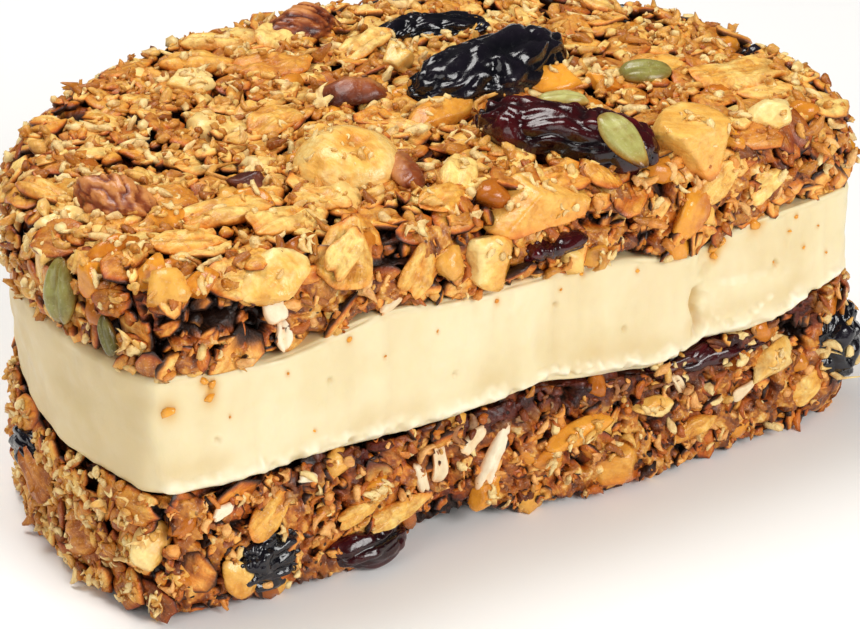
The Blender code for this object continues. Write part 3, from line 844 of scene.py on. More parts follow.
# %% Places of the pieces that catch the eye
FACINGS = {
    "up": (0.0, -0.1, 1.0),
    "cut": (0.0, -1.0, 0.15),
    "left": (-0.95, -0.25, 0.2),
    "edge": (-0.2, -0.7, 0.7),
}
PROUD = 0.25  # how far the middle of a listed piece stands out of the cut's skin
PLACED_ROOM = 0.40  # radius kept free round a listed piece, over its mean length and width
PLACED = {
    # Each row: x, y (None for the cut), z, facing, then yaw, pitch and roll in degrees, then
    # length, width, thickness and tint.
    ("upper", "broad_oats"): (
        (-18.2, -24.4, 30.8, "edge", 75, 0, 0, 6.8, 4.8, 1.5, 0.80),
        (-18.9, -25.4, 31.5, "edge", 50, 14, 10, 5.2, 2.6, 1.3, 0.98),
        (-3.3, -18.8, 32.4, "up", 140, 8, 0, 6.0, 3.4, 1.3, 1.0),
        (-6.6, -21.6, 32.1, "up", 110, 0, 10, 5.4, 3.2, 1.3, 0.75),
        (-24.5, -14.8, 32.5, "up", 75, 6, -6, 8.4, 4.6, 1.8, 0.85),
        (-27.8, -9.4, 32.5, "up", 60, 0, 8, 7.2, 3.6, 1.6, 0.60),
        (-21.0, -18.6, 32.3, "up", 100, -8, 0, 7.4, 3.8, 1.7, 0.95),
        (-29.4, -17.6, 32.1, "up", 70, 0, -8, 6.6, 4.4, 1.6, 0.85),
        (-16.0, -16.2, 32.3, "up", 30, 6, 0, 6.4, 3.4, 1.5, 0.90),
        (-10.5, 14.9, 32.3, "up", 62, 0, 0, 7.6, 2.8, 2.0, 0.75),
        (-7.0, 18.6, 32.3, "up", 62, 0, 0, 6.8, 2.4, 2.0, 0.95),
        (-4.9, 10.8, 32.4, "up", 70, 0, 0, 8.0, 4.2, 1.8, 0.60),
        (5.1, 10.4, 32.6, "up", 100, 10, 0, 6.6, 3.2, 1.1, 1.1),
        (-1.3, 16.5, 32.5, "up", 150, 0, 8, 5.2, 3.8, 1.3, 1.15),
        (30.7, -13.9, 32.3, "up", 75, 0, 0, 9.2, 5.6, 1.4, 0.85),
        (25.4, -8.0, 32.2, "up", 60, 0, 0, 6.2, 4.0, 1.3, 0.80),
        (-11.0, -0.3, 32.3, "up", 95, 5, 0, 5.6, 4.4, 1.2, 0.75),
        (-34.8, -2.5, 32.0, "up", 20, 0, 0, 7.6, 2.4, 1.6, 0.80),
        (-32.6, -4.6, 32.1, "up", 15, 0, 10, 7.2, 2.2, 1.6, 0.70),
        (-11.2, None, 27.6, "cut", 60, 0, 0, 5.4, 3.4, 1.2, 0.80),
        (20.0, None, 28.0, "cut", 35, 0, 0, 5.6, 3.0, 1.3, 0.85),
        (25.6, None, 26.6, "cut", 20, 0, 0, 4.8, 2.6, 1.2, 0.95),
    ),
    ("upper", "golden_nuts"): (
        (-36.0, -7.4, 31.4, "up", 50, 10, 0, 4.4, 3.2, 2.2, 0.95),
        (-25.1, -24.8, 30.7, "edge", 20, 0, 0, 6.0, 4.0, 2.2, 0.80),
        (-3.8, None, 26.9, "cut", -50, 0, 0, 5.4, 4.4, 3.2, 0.58),
        (7.2, None, 24.4, "cut", 0, 0, 0, 3.2, 2.2, 1.8, 0.50),
        (27.8, -22.4, 31.6, "up", 40, 20, 0, 4.2, 3.8, 3.0, 1.10),
        (5.5, 5.6, 32.6, "up", 0, 0, 0, 3.6, 3.2, 2.8, 0.80),
        (2.1, -7.2, 32.4, "up", 100, 12, 0, 6.0, 3.4, 2.6, 0.35),
        (-13.1, 11.6, 32.3, "up", 80, 0, 0, 4.4, 2.8, 2.0, 1.05),
    ),
    ("upper", "amber_bits"): (
        (-35.2, -15.6, 32.0, "edge", 15, 0, 0, 4.2, 2.6, 2.2, 0.55),
        (-37.8, -16.6, 30.8, "edge", 60, 10, 0, 3.6, 2.8, 2.2, 0.85),
        (-34.4, -20.4, 31.4, "edge", 30, 0, 15, 3.8, 3.0, 2.4, 0.95),
        (-31.4, -23.4, 31.2, "edge", 0, 0, 0, 3.0, 2.4, 1.8, 0.60),
        (-22.0, -22.6, 31.8, "edge", 20, 10, 0, 3.4, 1.8, 1.4, 0.35),
        (17.3, None, 25.9, "cut", 70, 0, 0, 4.6, 3.4, 2.2, 0.80),
        (15.4, -6.2, 32.5, "up", 80, 0, 0, 4.8, 3.2, 2.2, 1.05),
        (-11.6, -14.4, 32.4, "up", 70, 0, 0, 5.8, 3.0, 2.0, 0.85),
        (-28.6, -12.6, 32.0, "up", 80, 0, 0, 4.2, 2.6, 1.6, 0.90),
        (19.0, -9.0, 32.4, "up", 30, 0, 0, 3.6, 1.8, 1.8, 0.75),
        (-20.5, -12.8, 32.0, "up", 30, 0, 0, 3.8, 2.4, 1.6, 0.55),
    ),
    ("upper", "almond_chips"): (
        (-2.6, 1.1, 32.5, "up", 62, 8, 0, 6.6, 3.2, 2.4, 0.20),
        (-7.3, -16.6, 32.7, "up", -19, 0, 0, 5.8, 2.4, 1.8, 0.60),
        (-18.9, -9.6, 31.7, "up", 58, 0, 0, 3.6, 2.2, 2.0, 0.05),
    ),
    ("upper", "seeds"): (
        (-39.2, -13.0, 28.2, "left", 100, 0, 0, 6.0, 3.4, 2.0, 0.50),
        (-38.2, -19.4, 26.6, "left", 120, 0, 0, 3.8, 1.6, 1.2, 0.05),
        (10.9, -23.4, 34.0, "up", 8, -24, 20, 6.8, 2.9, 1.6, 0.78),
        (22.9, -9.6, 32.7, "up", 58, 6, 10, 5.0, 3.2, 1.8, 0.45),
        (12.8, -11.2, 32.9, "up", 62, 0, 0, 4.8, 2.0, 1.6, 1.10),
    ),
    ("upper", "coconut"): (
        (-25.5, None, 28.4, "cut", 110, 0, 0, 4.4, 2.0, 1.0, 0.9),
        (-24.3, None, 24.9, "cut", 95, 0, 0, 3.2, 1.4, 0.9, 1.0),
        (-14.0, None, 25.0, "cut", 30, 0, 0, 2.6, 1.0, 0.8, 0.6),
    ),
    ("lower", "coconut"): (
        (-8.9, None, 8.0, "cut", 80, 0, 0, 3.8, 1.6, 1.0, 0.6),
        (-10.6, None, 6.9, "cut", 105, 0, 0, 3.4, 1.2, 0.9, 0.7),
        (-3.2, None, 6.8, "cut", 68, 8, 0, 7.4, 1.9, 1.1, 0.9),
        (-5.4, None, 9.3, "cut", 40, 0, 0, 3.2, 1.7, 0.9, 0.6),
        (-31.0, None, 10.2, "cut", 20, 0, 0, 2.4, 1.1, 0.9, 1.0),
        (-22.5, None, 10.9, "cut", -10, 0, 0, 2.2, 0.9, 0.8, 0.9),
        (16.4, None, 9.2, "cut", 120, 0, 0, 2.6, 1.0, 0.9, 0.4),
        (24.0, None, 6.2, "cut", 20, 0, 0, 3.2, 1.1, 0.9, 0.4),
    ),
    ("lower", "golden_nuts"): (
        (13.6, None, 7.6, "cut", -15, 0, 0, 4.2, 2.0, 1.8, 0.95),
        (27.3, None, 8.1, "cut", 22, 0, 0, 5.8, 3.2, 2.2, 0.85),
        (-36.4, -22.4, 7.4, "edge", 60, 0, 0, 4.4, 3.0, 2.0, 0.80),
        (-29.5, None, 3.0, "cut", -60, 0, 0, 4.0, 2.4, 1.6, 0.55),
    ),
    ("lower", "amber_bits"): (
        (6.0, None, 7.6, "cut", 12, 0, 0, 7.0, 2.2, 1.8, 0.85),
        (-4.0, None, 3.9, "cut", 60, 0, 0, 3.6, 2.6, 2.0, 0.95),
        (2.4, None, 5.2, "cut", 20, 0, 0, 3.2, 2.2, 1.6, 0.55),
        (-16.0, None, 7.6, "cut", 15, 0, 0, 4.0, 1.8, 1.4, 0.60),
        (23.6, None, 9.6, "cut", 30, 0, 0, 2.4, 1.6, 1.4, 0.50),
    ),
    ("lower", "broad_oats"): (
        (-14.2, None, 4.4, "cut", 10, 0, 0, 8.6, 2.2, 1.3, 0.85),
        (-17.4, None, 6.0, "cut", 14, 0, 0, 5.4, 1.8, 1.2, 0.80),
        (-26.4, None, 8.4, "cut", 40, 0, 0, 5.2, 3.0, 1.3, 0.75),
        (18.4, None, 4.0, "cut", 10, 0, 0, 5.0, 2.0, 1.2, 0.70),
        (31.6, None, 4.4, "cut", 30, 0, 0, 4.6, 2.6, 1.2, 0.85),
        (-38.6, -14.0, 5.0, "left", 30, 0, 0, 5.6, 3.6, 1.3, 0.45),
        (-39.2, -6.0, 7.2, "left", 140, 0, 0, 5.4, 3.4, 1.3, 0.35),
    ),
}


def place_of(cookie, row):
    """A listed piece's middle. On the cut, y follows the crumb skin and its bulges."""
    x, y, z = row[:3]
    if y is not None:
        return np.array([x, y, z])
    low, high, bulges = top_face if cookie == "upper" else bottom_face
    low, high = low(x, FRONT_Y), high(x, FRONT_Y)
    push = forward(x, FRONT_Y, np.clip((z - low) / (high - low), 0, 1), bulges)
    return np.array([x, FRONT_Y + FLAKE_ROOM - CUT_NEARER - PROUD - push, z])


def clear_of_placed(points):
    """True where a point isn't under a listed piece, each taken as a ball."""
    free = np.ones(len(points), bool)
    for (cookie, _), rows in PLACED.items():
        for row in rows:
            room = PLACED_ROOM * math.sqrt(row[7] * row[8])
            free &= ((points - place_of(cookie, row)) ** 2).sum(axis=1) > room**2
    return free


print("listed pieces:", sum(len(rows) for rows in PLACED.values()))

# %% [markdown]
# ## Scattering
#
# Particles or instances would spread flakes quickly, but each flake here has its own shape,
# and the finished part keeps only real meshes. So places are drawn by lot over the skin, in
# proportion to its area, and one too near to an earlier one is dropped. Each piece then gets
# three axes, from the normal there, a turn, and two small tilts.

# %% Places and axes
def sow(skin, spacing, tries, allowed):
    """Places and normals over a skin, no nearer to each other than the spacing, which may
    depend on the place. Draws cells by area, then a point inside each."""
    points, normals = skin
    a, b = points[:-1], points[1:]
    c, d = np.roll(b, -1, axis=1), np.roll(a, -1, axis=1)
    area = np.linalg.norm(np.cross(c - a, d - b), axis=-1).ravel()
    row, column = np.divmod(rng.choice(area.size, tries, p=area / area.sum()), a.shape[1])
    s, t = rng.random((2, tries, 1))
    at = (1 - s) * ((1 - t) * a[row, column] + t * d[row, column])
    at = at + s * ((1 - t) * b[row, column] + t * c[row, column])
    facing = normals[row, column]
    good = allowed(at, facing)
    at, facing = at[good], facing[good]
    apart = np.broadcast_to(spacing(at, facing) if callable(spacing) else spacing, len(at))
    taken, used = np.full((len(at), 3), 1e9), []
    for index, place in enumerate(at):
        gap = taken[: len(used)] - place
        if not used or (gap * gap).sum(axis=1).min() > apart[index] ** 2:
            taken[len(used)] = place
            used.append(index)
    return at[used], facing[used]


def swung(first, second, angle):
    """Two directions at right angles, turned in their own plane by an angle."""
    cos, sin = np.cos(angle), np.sin(angle)
    return cos * first + sin * second, cos * second - sin * first


def axes(normals, yaw, pitch, roll):
    """Three unit axes for each piece: along, across and up. Up starts on the normal, yaw turns
    about it, then pitch lifts the far end and roll lifts one side."""
    aside = np.where(np.abs(normals[:, 2:]) < 0.9, (0.0, 0.0, 1.0), (1.0, 0.0, 0.0))
    east = unit(np.cross(aside, normals))
    north = np.cross(normals, east)
    yaw, pitch, roll = yaw[:, None], pitch[:, None], roll[:, None]
    along, _ = swung(east, north, yaw)
    across = np.cross(normals, along)
    along, up = swung(along, normals, pitch)
    across, up = swung(across, up, roll)
    return np.stack([along, across, up], axis=1)


def random_axes(normals, tilt):
    """Axes at a random turn, with two random tilts of about a size."""
    count = len(normals)
    yaw = rng.uniform(0, math.tau, count)
    return axes(normals, yaw, rng.normal(0, tilt, count), rng.normal(0, tilt, count))


def laid(local, at, normals, lift, frames):
    """Local points (pieces, rings, around, 3) set onto a skin, and each point's height over it."""
    world_points = np.einsum("nrai,nij->nraj", local, frames)
    world_points = world_points + (at + lift[:, None] * normals)[:, None, None, :]
    height = np.einsum("nraj,nj->nra", world_points - at[:, None, None, :], normals)
    return world_points, height


def sunk(height, top, reach):
    """Depth from 0 at a height above the skin to 1 at a reach below that height."""
    return np.clip((top - height) / reach, 0, 1)


def above_joint(points, low, high):
    """Points kept between two faces of the layers, so that nothing cuts into the cream."""
    x, y = points[..., 0], points[..., 1]
    points[..., 2] = np.clip(points[..., 2], low(x, y), high(x, y))
    return points


# %% [markdown]
# ## Rolled oats
#
# A rolled oat is a steamed grain pressed flat: an oval with a ragged rim, often split at one
# end, a crease along its middle, and a curl from the oven. It is made as a thin closed shell
# with twelve points round it. Fewer would look cut from card, and more would cost too many
# faces over some seven hundred and fifty flakes and groats.

# %% The shape of a flake
LARGE = (12, (0.40, 0.74, 0.93, 1.0, 0.80, 0.42), (1, 1, 1, 0, -1, -1))  # around, reach, side
SMALL = (8, (0.62, 1.0, 0.62), (1, 0, -1))


def ragged(count, around, rough):
    """An outline's reach in each direction: 1 plus waves of two to six lobes at random."""
    turn = np.arange(around) * math.tau / around
    reach = np.ones((count, around))
    for lobes in range(2, 7):
        size = rng.normal(0, rough / lobes**0.5, (count, 1))
        phase = rng.uniform(0, math.tau, (count, 1))
        reach += size * np.cos(lobes * turn + phase)
    return turn, np.clip(reach, 0.80, 1.18)


def oats(length, width, thick, rough, curl, detail):
    """Oats lying flat, their lines of fibre, and how much darker their rims, undersides and
    creases are, which is painted shade, partly syrup at the rim. Ragged ovals, domed as
    sqrt(1 - reach^2.6), tapered to one end, split at the other, bowed along and across,
    twisted, and creased along the middle."""
    around, reaches, sides = detail
    count = len(length)
    ring, side = np.array(reaches)[None, :, None], np.array(sides, float)[None, :, None]
    turn, reach = ragged(count, around, rough)
    split = rng.uniform(0, min(0.30, 5 * rough), (count, 1))
    reach -= split * np.exp(-(((turn - math.pi) / 0.4) ** 2))
    out = reach[:, None, :] * ring
    half_length, half_width, thick = (v[:, None, None] / 2 for v in (length, width, thick))
    taper = rng.uniform(-0.05, 0.28, (count, 1, 1))
    x = half_length * out * np.cos(turn)
    y = half_width * out * np.sin(turn) * (1 - taper * np.cos(turn) * ring)
    share_x, share_y = x / half_length, y / half_width
    z = thick * side * np.sqrt(1 - ring**2.6)
    bow, cup, twist = rng.normal(0, curl, (3, count, 1, 1))
    bow, cup, twist = 0.5 * bow, 0.9 * cup, 0.6 * twist
    z = z + half_width * (bow * share_x**2 + cup * share_y**2 + twist * share_x * share_y)
    ripple = rng.uniform(0, 0.16, (count, 1, 1)) * np.sin(3 * turn + rng.uniform(0, 6, (count, 1, 1)))
    z = z + half_width * ripple * ring**3
    crease = np.exp(-((share_y / 0.30) ** 2)) * (side > 0) * rng.uniform(0.1, 1.0, (count, 1, 1))
    z = z - 0.7 * thick * crease
    fibre = np.stack([0.2 * x, y, 0 * x + 9.0 * np.arange(count)[:, None, None]], axis=-1)
    # Painted shade: darkest under the oat, then at its edge and towards the rim of its top, and in its
    # crease.
    rim = np.where(side > 0, 0.42 * between(ring, 0.72, 1.0), np.where(side < 0, 1.0, 0.66))
    return np.stack([x, y, z], axis=-1), fibre, rim + 0.36 * crease


def tint_of(count, low, high):
    """How pale each piece is, most of them near the middle of a range."""
    return (low + (high - low) * rng.beta(1.6, 1.4, count))[:, None, None]


# %% [markdown]
# Rolled flakes are broad and flat, groats are plump grains that the rollers missed, nubs are
# broken bits and slivers are split husks. They lie nearly flat on the upper face, where the
# press has been. Round the rim they stand a little more unevenly, and on the cut they are
# sliced and broken, so there are fewer large ones. Each kind therefore has a spacing, a tilt
# and a lift for each zone.

# %% Oats over both cookies
KINDS = {  # length, width as a share, thickness, ragged, curl, detail; then by zone
    "flakes": ((4.0, 6.2), (0.56, 0.80), (0.8, 1.2), 0.065, 0.16, LARGE),
    "groats": ((3.2, 5.0), (0.38, 0.56), (1.1, 1.6), 0.055, 0.16, LARGE),
    "nubs": ((1.2, 2.6), (0.45, 0.75), (0.8, 1.2), 0.10, 0.30, SMALL),
    "slivers": ((1.6, 3.2), (0.28, 0.44), (0.6, 0.9), 0.10, 0.50, SMALL),
}
CRINKLE = 0.16  # how far an oat's points are moved by lumps of 1 mm, which puckers it
ZONES = {  # spacing, tilt and lift on the flat face, the rim, the upper cut and the lower cut
    "flakes": ((3.1, 3.1, 3.9, 6.5), (0.12, 0.15, 0.30, 0.25), (0.05, 0.00, -0.35, -0.70)),
    "groats": ((3.2, 3.4, 3.1, 4.6), (0.14, 0.18, 0.40, 0.35), (0.00, -0.05, -0.45, -0.80)),
    "nubs": ((1.65, 1.6, 1.50, 1.40), (0.25, 0.30, 0.50, 0.50), (0.15, 0.10, -0.15, -0.25)),
    "slivers": ((2.5, 2.5, 2.0, 2.2), (0.25, 0.30, 0.55, 0.55), (0.30, 0.25, 0.00, -0.15)),
}
CAVE = 0.6  # larger pieces keep out of caves deeper than this, and small ones line them
CAVE_DROP = 0.8  # how far oats sink into a cave, as a share of its depth
CAVE_LIGHT = 0.45  # share of its depth that adds no painted shade to them, so that they don't turn black
UPPER_STARTS = LOWER_TOP + 5  # places higher than this are on the upper cookie
OAT_TRIES = 18000
CUT_GLAZE = (0.18, 0.22)  # added depth on the upper and lower cut, where the knife drags syrup
RIM_SHADE = 0.18  # how much less pale oats are on the rim, painted shade on the sides, which get less light than the top
top_limits = (raised(upper_base, 0.15), level(99.0))
bottom_limits = (level(0.03), raised(lower_top, 0.45))


def zone_of(at, facing):
    """0 on a flat face, 1 on the rim, 2 on the upper cut and 3 on the lower cut."""
    sliced = np.where(at[:, 2] > UPPER_STARTS, 2, 3)
    whole = np.where(np.abs(facing[:, 2]) > 0.8, 0, 1)
    return np.where(on_cut(at, facing) > 0.5, sliced, whole)


def glaze_on(at, facing):
    """How much syrup the knife has left at each place, as an addition to its depth."""
    upper, lower = CUT_GLAZE
    return on_cut(at, facing) * np.where(at[:, 2] > UPPER_STARTS, upper, lower)


def is_free(at):
    """True clear of the big pieces and the listed pieces."""
    return clear_of_big(at, 0.92) & clear_of_placed(at)


def on_upper(at, facing):
    """True where a piece may lie on the upper cookie: clear of its base and of other pieces."""
    low = upper_base(at[:, 0], at[:, 1])
    return (facing[:, 2] > -0.6) & (at[:, 2] > low + 0.7) & is_free(at)


def on_lower(at, facing):
    """The same for the lower cookie: clear of the cream above it and of the floor."""
    high = lower_top(at[:, 0], at[:, 1])
    inside = (at[:, 2] < high - 0.4) & (at[:, 2] > 0.6)
    return (facing[:, 2] < 0.6) & inside & is_free(at)


COOKIES = {  # node, crumb skin, where pieces may lie and the faces that they stay between
    "upper": ("top_cookie", top_skin, on_upper, top_limits),
    "lower": ("bottom_cookie", bottom_skin, on_lower, bottom_limits),
}


def lay_oats(cookie, kind, tints):
    """One kind of oat over a cookie. Returns the high points that crumbs can settle on."""
    node, skin, allowed, limits = COOKIES[cookie]
    lengths, widths, thicks, rough, curl, detail = KINDS[kind]
    spacing, tilt, lift = (np.array(row) for row in ZONES[kind])
    at, facing = sow(skin, lambda p, n: spacing[zone_of(p, n)], OAT_TRIES, allowed)
    shallow = (hollow(at) < CAVE) | (detail is SMALL)
    at, facing = at[shallow], facing[shallow]
    zone, count = zone_of(at, facing), len(at)
    length = rng.uniform(*lengths, count)
    width = length * rng.uniform(*widths, count)
    thick = rng.uniform(*thicks, count)
    local, fibre, rim = oats(length, width, thick, rough, curl, detail)
    lift = lift[zone] + rng.uniform(-0.25, 0.30, count) - CAVE_DROP * hollow(at)
    frames = random_axes(facing, tilt[zone])
    points, height = laid(local, at, facing, lift, frames)
    pucker = lumps(points, 1.0, 600)
    points = above_joint(points + CRINKLE * pucker[..., None] * facing[:, None, None, :], *limits)
    glaze = glaze_on(at, facing)[:, None, None]
    raised_in_cave = CAVE_LIGHT * hollow(at)[:, None, None]
    # Depth: painted shade low between the pieces and in caves, at the oat's rim and in the dips of its
    # puckers; the cut's glaze adds syrup.
    depth = np.clip(sunk(height + raised_in_cave, 0.35, 1.7) + rim - 0.20 * pucker + glaze, 0, 1)
    put_piece(f"{cookie}_{kind}", points, oat_finish, [node], {
        # The tint is lowered on the rim as painted shade on the sides, and rises and falls with the
        # puckers.
        "tint": tint_of(count, *tints) + 0.12 * pucker - RIM_SHADE * (zone == 1)[:, None, None],
        "depth": depth,
        "grain": fibre,
        "stain": stained(points) * (rng.random((count, 1, 1)) < 0.75),
    })
    high = (height[:, 0] > 0.15) & (points[:, 0, :, 2] > 1.0)
    return points[:, 0][high], np.broadcast_to(facing[:, None], points[:, 0].shape)[high]


perches = {}
for cookie, tints in (("upper", (0.34, 1.15)), ("lower", (0.24, 1.12))):
    laid_kinds = [lay_oats(cookie, kind, tints) for kind in KINDS]
    perches[cookie] = [np.concatenate(parts) for parts in zip(*laid_kinds)]

# %% [markdown]
# ## Floury crumbs
#
# Pressing also leaves pale floury crumbs, most under a millimetre, stuck on top of the oats.
# Six points round and five rings are enough for each. They are put on high points of the
# oats laid above, so that none hangs in the air.

# %% Crumbs on the oats
CRUMB_RINGS = np.radians([26.0, 62.0, 98.0, 134.0, 160.0])
CRUMB_AROUND = 6


def blobs(count, size):
    """Crooked knobbly bits: a ball drawn out along X, bent sideways by a parabola, each ring
    made thicker or thinner and each point moved in or out at random."""
    stretch_by = rng.uniform((0.9, 0.55, 0.5), (2.3, 1.0, 0.85), (count, 1, 1, 3))
    points = ball_grid(CRUMB_RINGS, CRUMB_AROUND) * stretch_by
    points[..., 1:] *= rng.uniform(0.72, 1.25, (count, len(CRUMB_RINGS), 1, 1))
    points = points * rng.uniform(0.86, 1.12, (count, len(CRUMB_RINGS), CRUMB_AROUND, 1))
    points[..., 1] += rng.normal(0, 0.35, (count, 1, 1)) * points[..., 0] ** 2
    return points * size[:, None, None, None] / 2


def lay_crumbs(cookie, count, sizes, tints):
    """Crumbs on the high points of a cookie's oats. A few are large and most are small."""
    node, _, _, limits = COOKIES[cookie]
    high, facing = perches[cookie]
    pick = rng.choice(len(high), count, replace=False)
    at, facing = high[pick], facing[pick]
    size = sizes[0] + (sizes[1] - sizes[0]) * rng.random(count) ** 2
    frames = random_axes(facing, 0.5)
    points, height = laid(blobs(count, size), at, facing, 0.1 * size, frames)
    glaze = 1.6 * glaze_on(at, facing)[:, None, None] * (rng.random((count, 1, 1)) < 0.7)
    points = above_joint(points, *limits)
    put_piece(f"{cookie}_crumbs", points, floury_finish, [node], {
        "tint": tint_of(count, *tints) + 0 * height,
        "depth": 0.08 + glaze + 0 * height,
        "stain": 0.8 * stained(points) * (rng.random((count, 1, 1)) < 0.6),
    })


lay_crumbs("upper", 3200, (0.4, 1.4), (0.35, 1.25))
lay_crumbs("lower", 3200, (0.35, 1.2), (0.30, 1.35))

# %% [markdown]
# ## Chopped nuts and set syrup
#
# A chopped nut has flat broken faces with blunt corners. Its surface is the nearest of
# several random planes in each direction, blended so that the edges round off. The same
# shape, smaller and smoother, makes beads of set syrup.

# %% Broken pieces
def chunks(count, size, planes, blunt, rings, around, faces=None):
    """Lumps with flat sides, at random or with given faces (normal, distance). Reach in a
    direction is the soft minimum over the planes of their distance divided by the direction's
    share along their normal."""
    ring = (np.arange(rings) + 0.7) / (rings + 0.4) * math.pi
    ball = np.roll(ball_grid(ring, around), -1, axis=-1)  # its poles are then along Z
    golden = np.arange(planes) + 0.5
    slope, spin = np.arccos(1 - 2 * golden / planes), golden * math.pi * (1 + 5**0.5)
    spread = np.stack([np.sin(slope) * np.cos(spin), np.sin(slope) * np.sin(spin), np.cos(slope)], -1)
    normals = unit(spread[None] + rng.normal(0, 0.28, (count, planes, 3)))
    distance = rng.uniform(0.62 if planes < 10 else 0.84, 1.0, (count, planes))
    if faces is not None:
        normals = unit(np.array([normal for normal, _ in faces]))[None]
        distance = np.array([[away for _, away in faces]])
    share = np.maximum(np.einsum("rai,npi->nrap", ball, normals), 0) / distance[:, None, None, :]
    reach = np.minimum((share**blunt).sum(axis=-1) ** (-1 / blunt), 1.22)
    return ball * reach[..., None] * (size / 2)[:, None, None, :]


CHUNK_TRIES = 900


def lay_chunks(cookie, kind, finish, spacing, sizes, tints, lifts, planes, blunt):
    """Broken pieces of one kind over the upper or the lower cookie."""
    node, skin, allowed, limits = COOKIES[cookie]
    at, facing = sow(skin, spacing, CHUNK_TRIES, allowed)
    shallow = hollow(at) < CAVE
    at, facing = at[shallow], facing[shallow]
    count = len(at)
    size = rng.uniform(*sizes, (count, 1)) * np.array([1.2, 0.95, 0.8])
    frames = random_axes(facing, 0.4)
    local = chunks(count, size, planes, blunt, 7, 12)
    points, height = laid(local, at, facing, rng.uniform(*lifts, count), frames)
    # Depth darkens the lower part of each piece as painted shade among its neighbours.
    marks = {"tint": tint_of(count, *tints) + 0 * height, "depth": sunk(height, 0.1, 2.4)}
    points = above_joint(points, *limits)
    put_piece(f"{cookie}_{kind}", points, finish, [node], marks)


lay_chunks("upper", "nut_chips", nut_finish, 9.5, (2.4, 3.8), (0.30, 0.95), (-0.6, -0.1), 8, 22)
lay_chunks("lower", "nut_chips", nut_finish, 9.0, (2.2, 3.4), (0.15, 0.8), (-0.8, -0.3), 8, 22)
lay_chunks("upper", "syrup_beads", syrup_finish, 7.0, (2.0, 3.6), (0.2, 1.0), (-1.0, -0.4), 7, 20)
lay_chunks("lower", "syrup_beads", syrup_finish, 5.5, (1.3, 3.0), (0.1, 1.0), (-1.0, -0.5), 7, 20)

# %% [markdown]
# ## The pieces that catch the eye
#
# Each listed piece is one of two forms already made: an oat, pressed flat and creased, or a
# chunk with flat sides. Both are cut finer here, with small lumps over them, because these
# pieces are larger and stand in front. Seeds are oats with a smooth rim.

# %% Shaping the listed pieces
BROAD_REACHES = (0.22, 0.44, 0.63, 0.79, 0.91, 0.98, 1.0, 0.94, 0.76, 0.42)
BROAD = (28, BROAD_REACHES, (1, 1, 1, 1, 1, 1, 0, -1, -1, -1))
LOOKS = {  # finish, slot, form, ragged and curl or planes and blunt, height of its lumps in mm
    "broad_oats": (oat_finish, "granola", "oat", 0.060, 0.10, 0.32),
    "golden_nuts": (nut_finish, "nut", "chunk", 7, 36, 0.15),
    "amber_bits": (syrup_finish, "nut", "chunk", 7, 30, 0.14),
    "almond_chips": (almond_finish, "almond", "chunk", 7, 24, 0.16),
    "seeds": (pumpkin_finish, "granola", "oat", 0.012, 0.06, 0.06),
    "coconut": (coconut_finish, "granola", "oat", 0.08, 0.45, 0.22),
}


def lay_placed(cookie, kind, rows):
    """The listed pieces of one kind on one cookie, as one object."""
    finish, slot, form, first, second, lump_mm = LOOKS[kind]
    node, _, _, limits = COOKIES[cookie]
    at = np.array([place_of(cookie, row) for row in rows])
    facing = unit(np.array([FACINGS[row[3]] for row in rows]))
    yaw, pitch, roll = np.radians(np.array([row[4:7] for row in rows], float)).T
    sizes = np.array([row[7:10] for row in rows])
    tint = np.array([row[10] for row in rows])[:, None, None]
    count = len(rows)
    if form == "oat":
        local, fibre, rim = oats(*sizes.T, first, second, BROAD)
    else:
        local = chunks(count, sizes, first, second, 20, 34)
        fibre, rim = local * 0.6, 0.0
    points, height = laid(local, at, facing, 0.02 * sizes[:, 2], axes(facing, yaw, pitch, roll))
    paler_end = rng.normal(0, 1, (count, 1, 1, 3)) * (form == "chunk")
    tint = tint + 0.16 * (local / (sizes[:, None, None] / 2) * paler_end).sum(axis=-1)
    relief = lumps(points, 1.3, 610) + 0.5 * lumps(points, 0.6, 611)
    points = above_joint(points + (lump_mm * relief)[..., None] * facing[:, None, None, :], *limits)
    # Depth: painted shade low on the piece, at an oat's rim and underside, and in the dips of its lumps,
    # which the tint makes paler on top.
    depth = np.clip(0.8 * sunk(height, 0.0, 2.2) + 0.7 * rim - 0.15 * relief, 0, 1)
    put_piece(f"{cookie}_{kind}", points, finish, [node], {
        "tint": tint + 0.10 * relief,
        "depth": depth,
        "grain": fibre,
    })
    return points, np.broadcast_to(facing[:, None, None, :], points.shape)


placed_skins = {key: lay_placed(*key, rows) for key, rows in PLACED.items()}

# %% [markdown]
# ## Dried fruit
#
# A raisin is a grape that has shrunk inside its skin, so the skin folds: broad rounded ridges
# with sharp valleys, mostly along its length. Folded noise gives that, the size of a smooth
# noise without its sign, with the noise drawn out along the fruit. Cloth simulation of a
# shrinking ball looks similar but takes minutes for each raisin.

# %% Fruit skin and finish
def fruit_material(name, dark, light, sheen):
    """Near black skin with a lighter hue on its ridges, painted shade keeping the valleys of its
    folds near black, and a strong gloss broken by noise.
    """
    material, tree, shader = new_material(name)
    # The fold's height lifts the ridges to the lighter hue; the valleys stay dark as painted shade.
    ridge = stretch(tree, mark(tree, "tint"), 0.15, 0.95, 0.0, 1.0)
    cloudy = maths(tree, "MULTIPLY", ridge, stretch(tree, noise(tree, 2.5, 3.0), 0.35, 0.65, 0.3, 1.0))
    tree.links.new(mix(tree, "MIX", cloudy, (*dark, 1.0), (*light, 1.0)), shader.inputs["Base Color"])
    gloss = stretch(tree, noise(tree, 0.9, 3.0), 0.35, 0.65, 0.10, 0.30)
    tree.links.new(gloss, shader.inputs["Roughness"])
    set_inputs(shader, Coat_Weight=sheen, Coat_Roughness=0.08, Specular_IOR_Level=0.36)
    bump(tree, shader, noise(tree, 0.40, 2.0, 0.8), 0.45, 0.10)
    return material


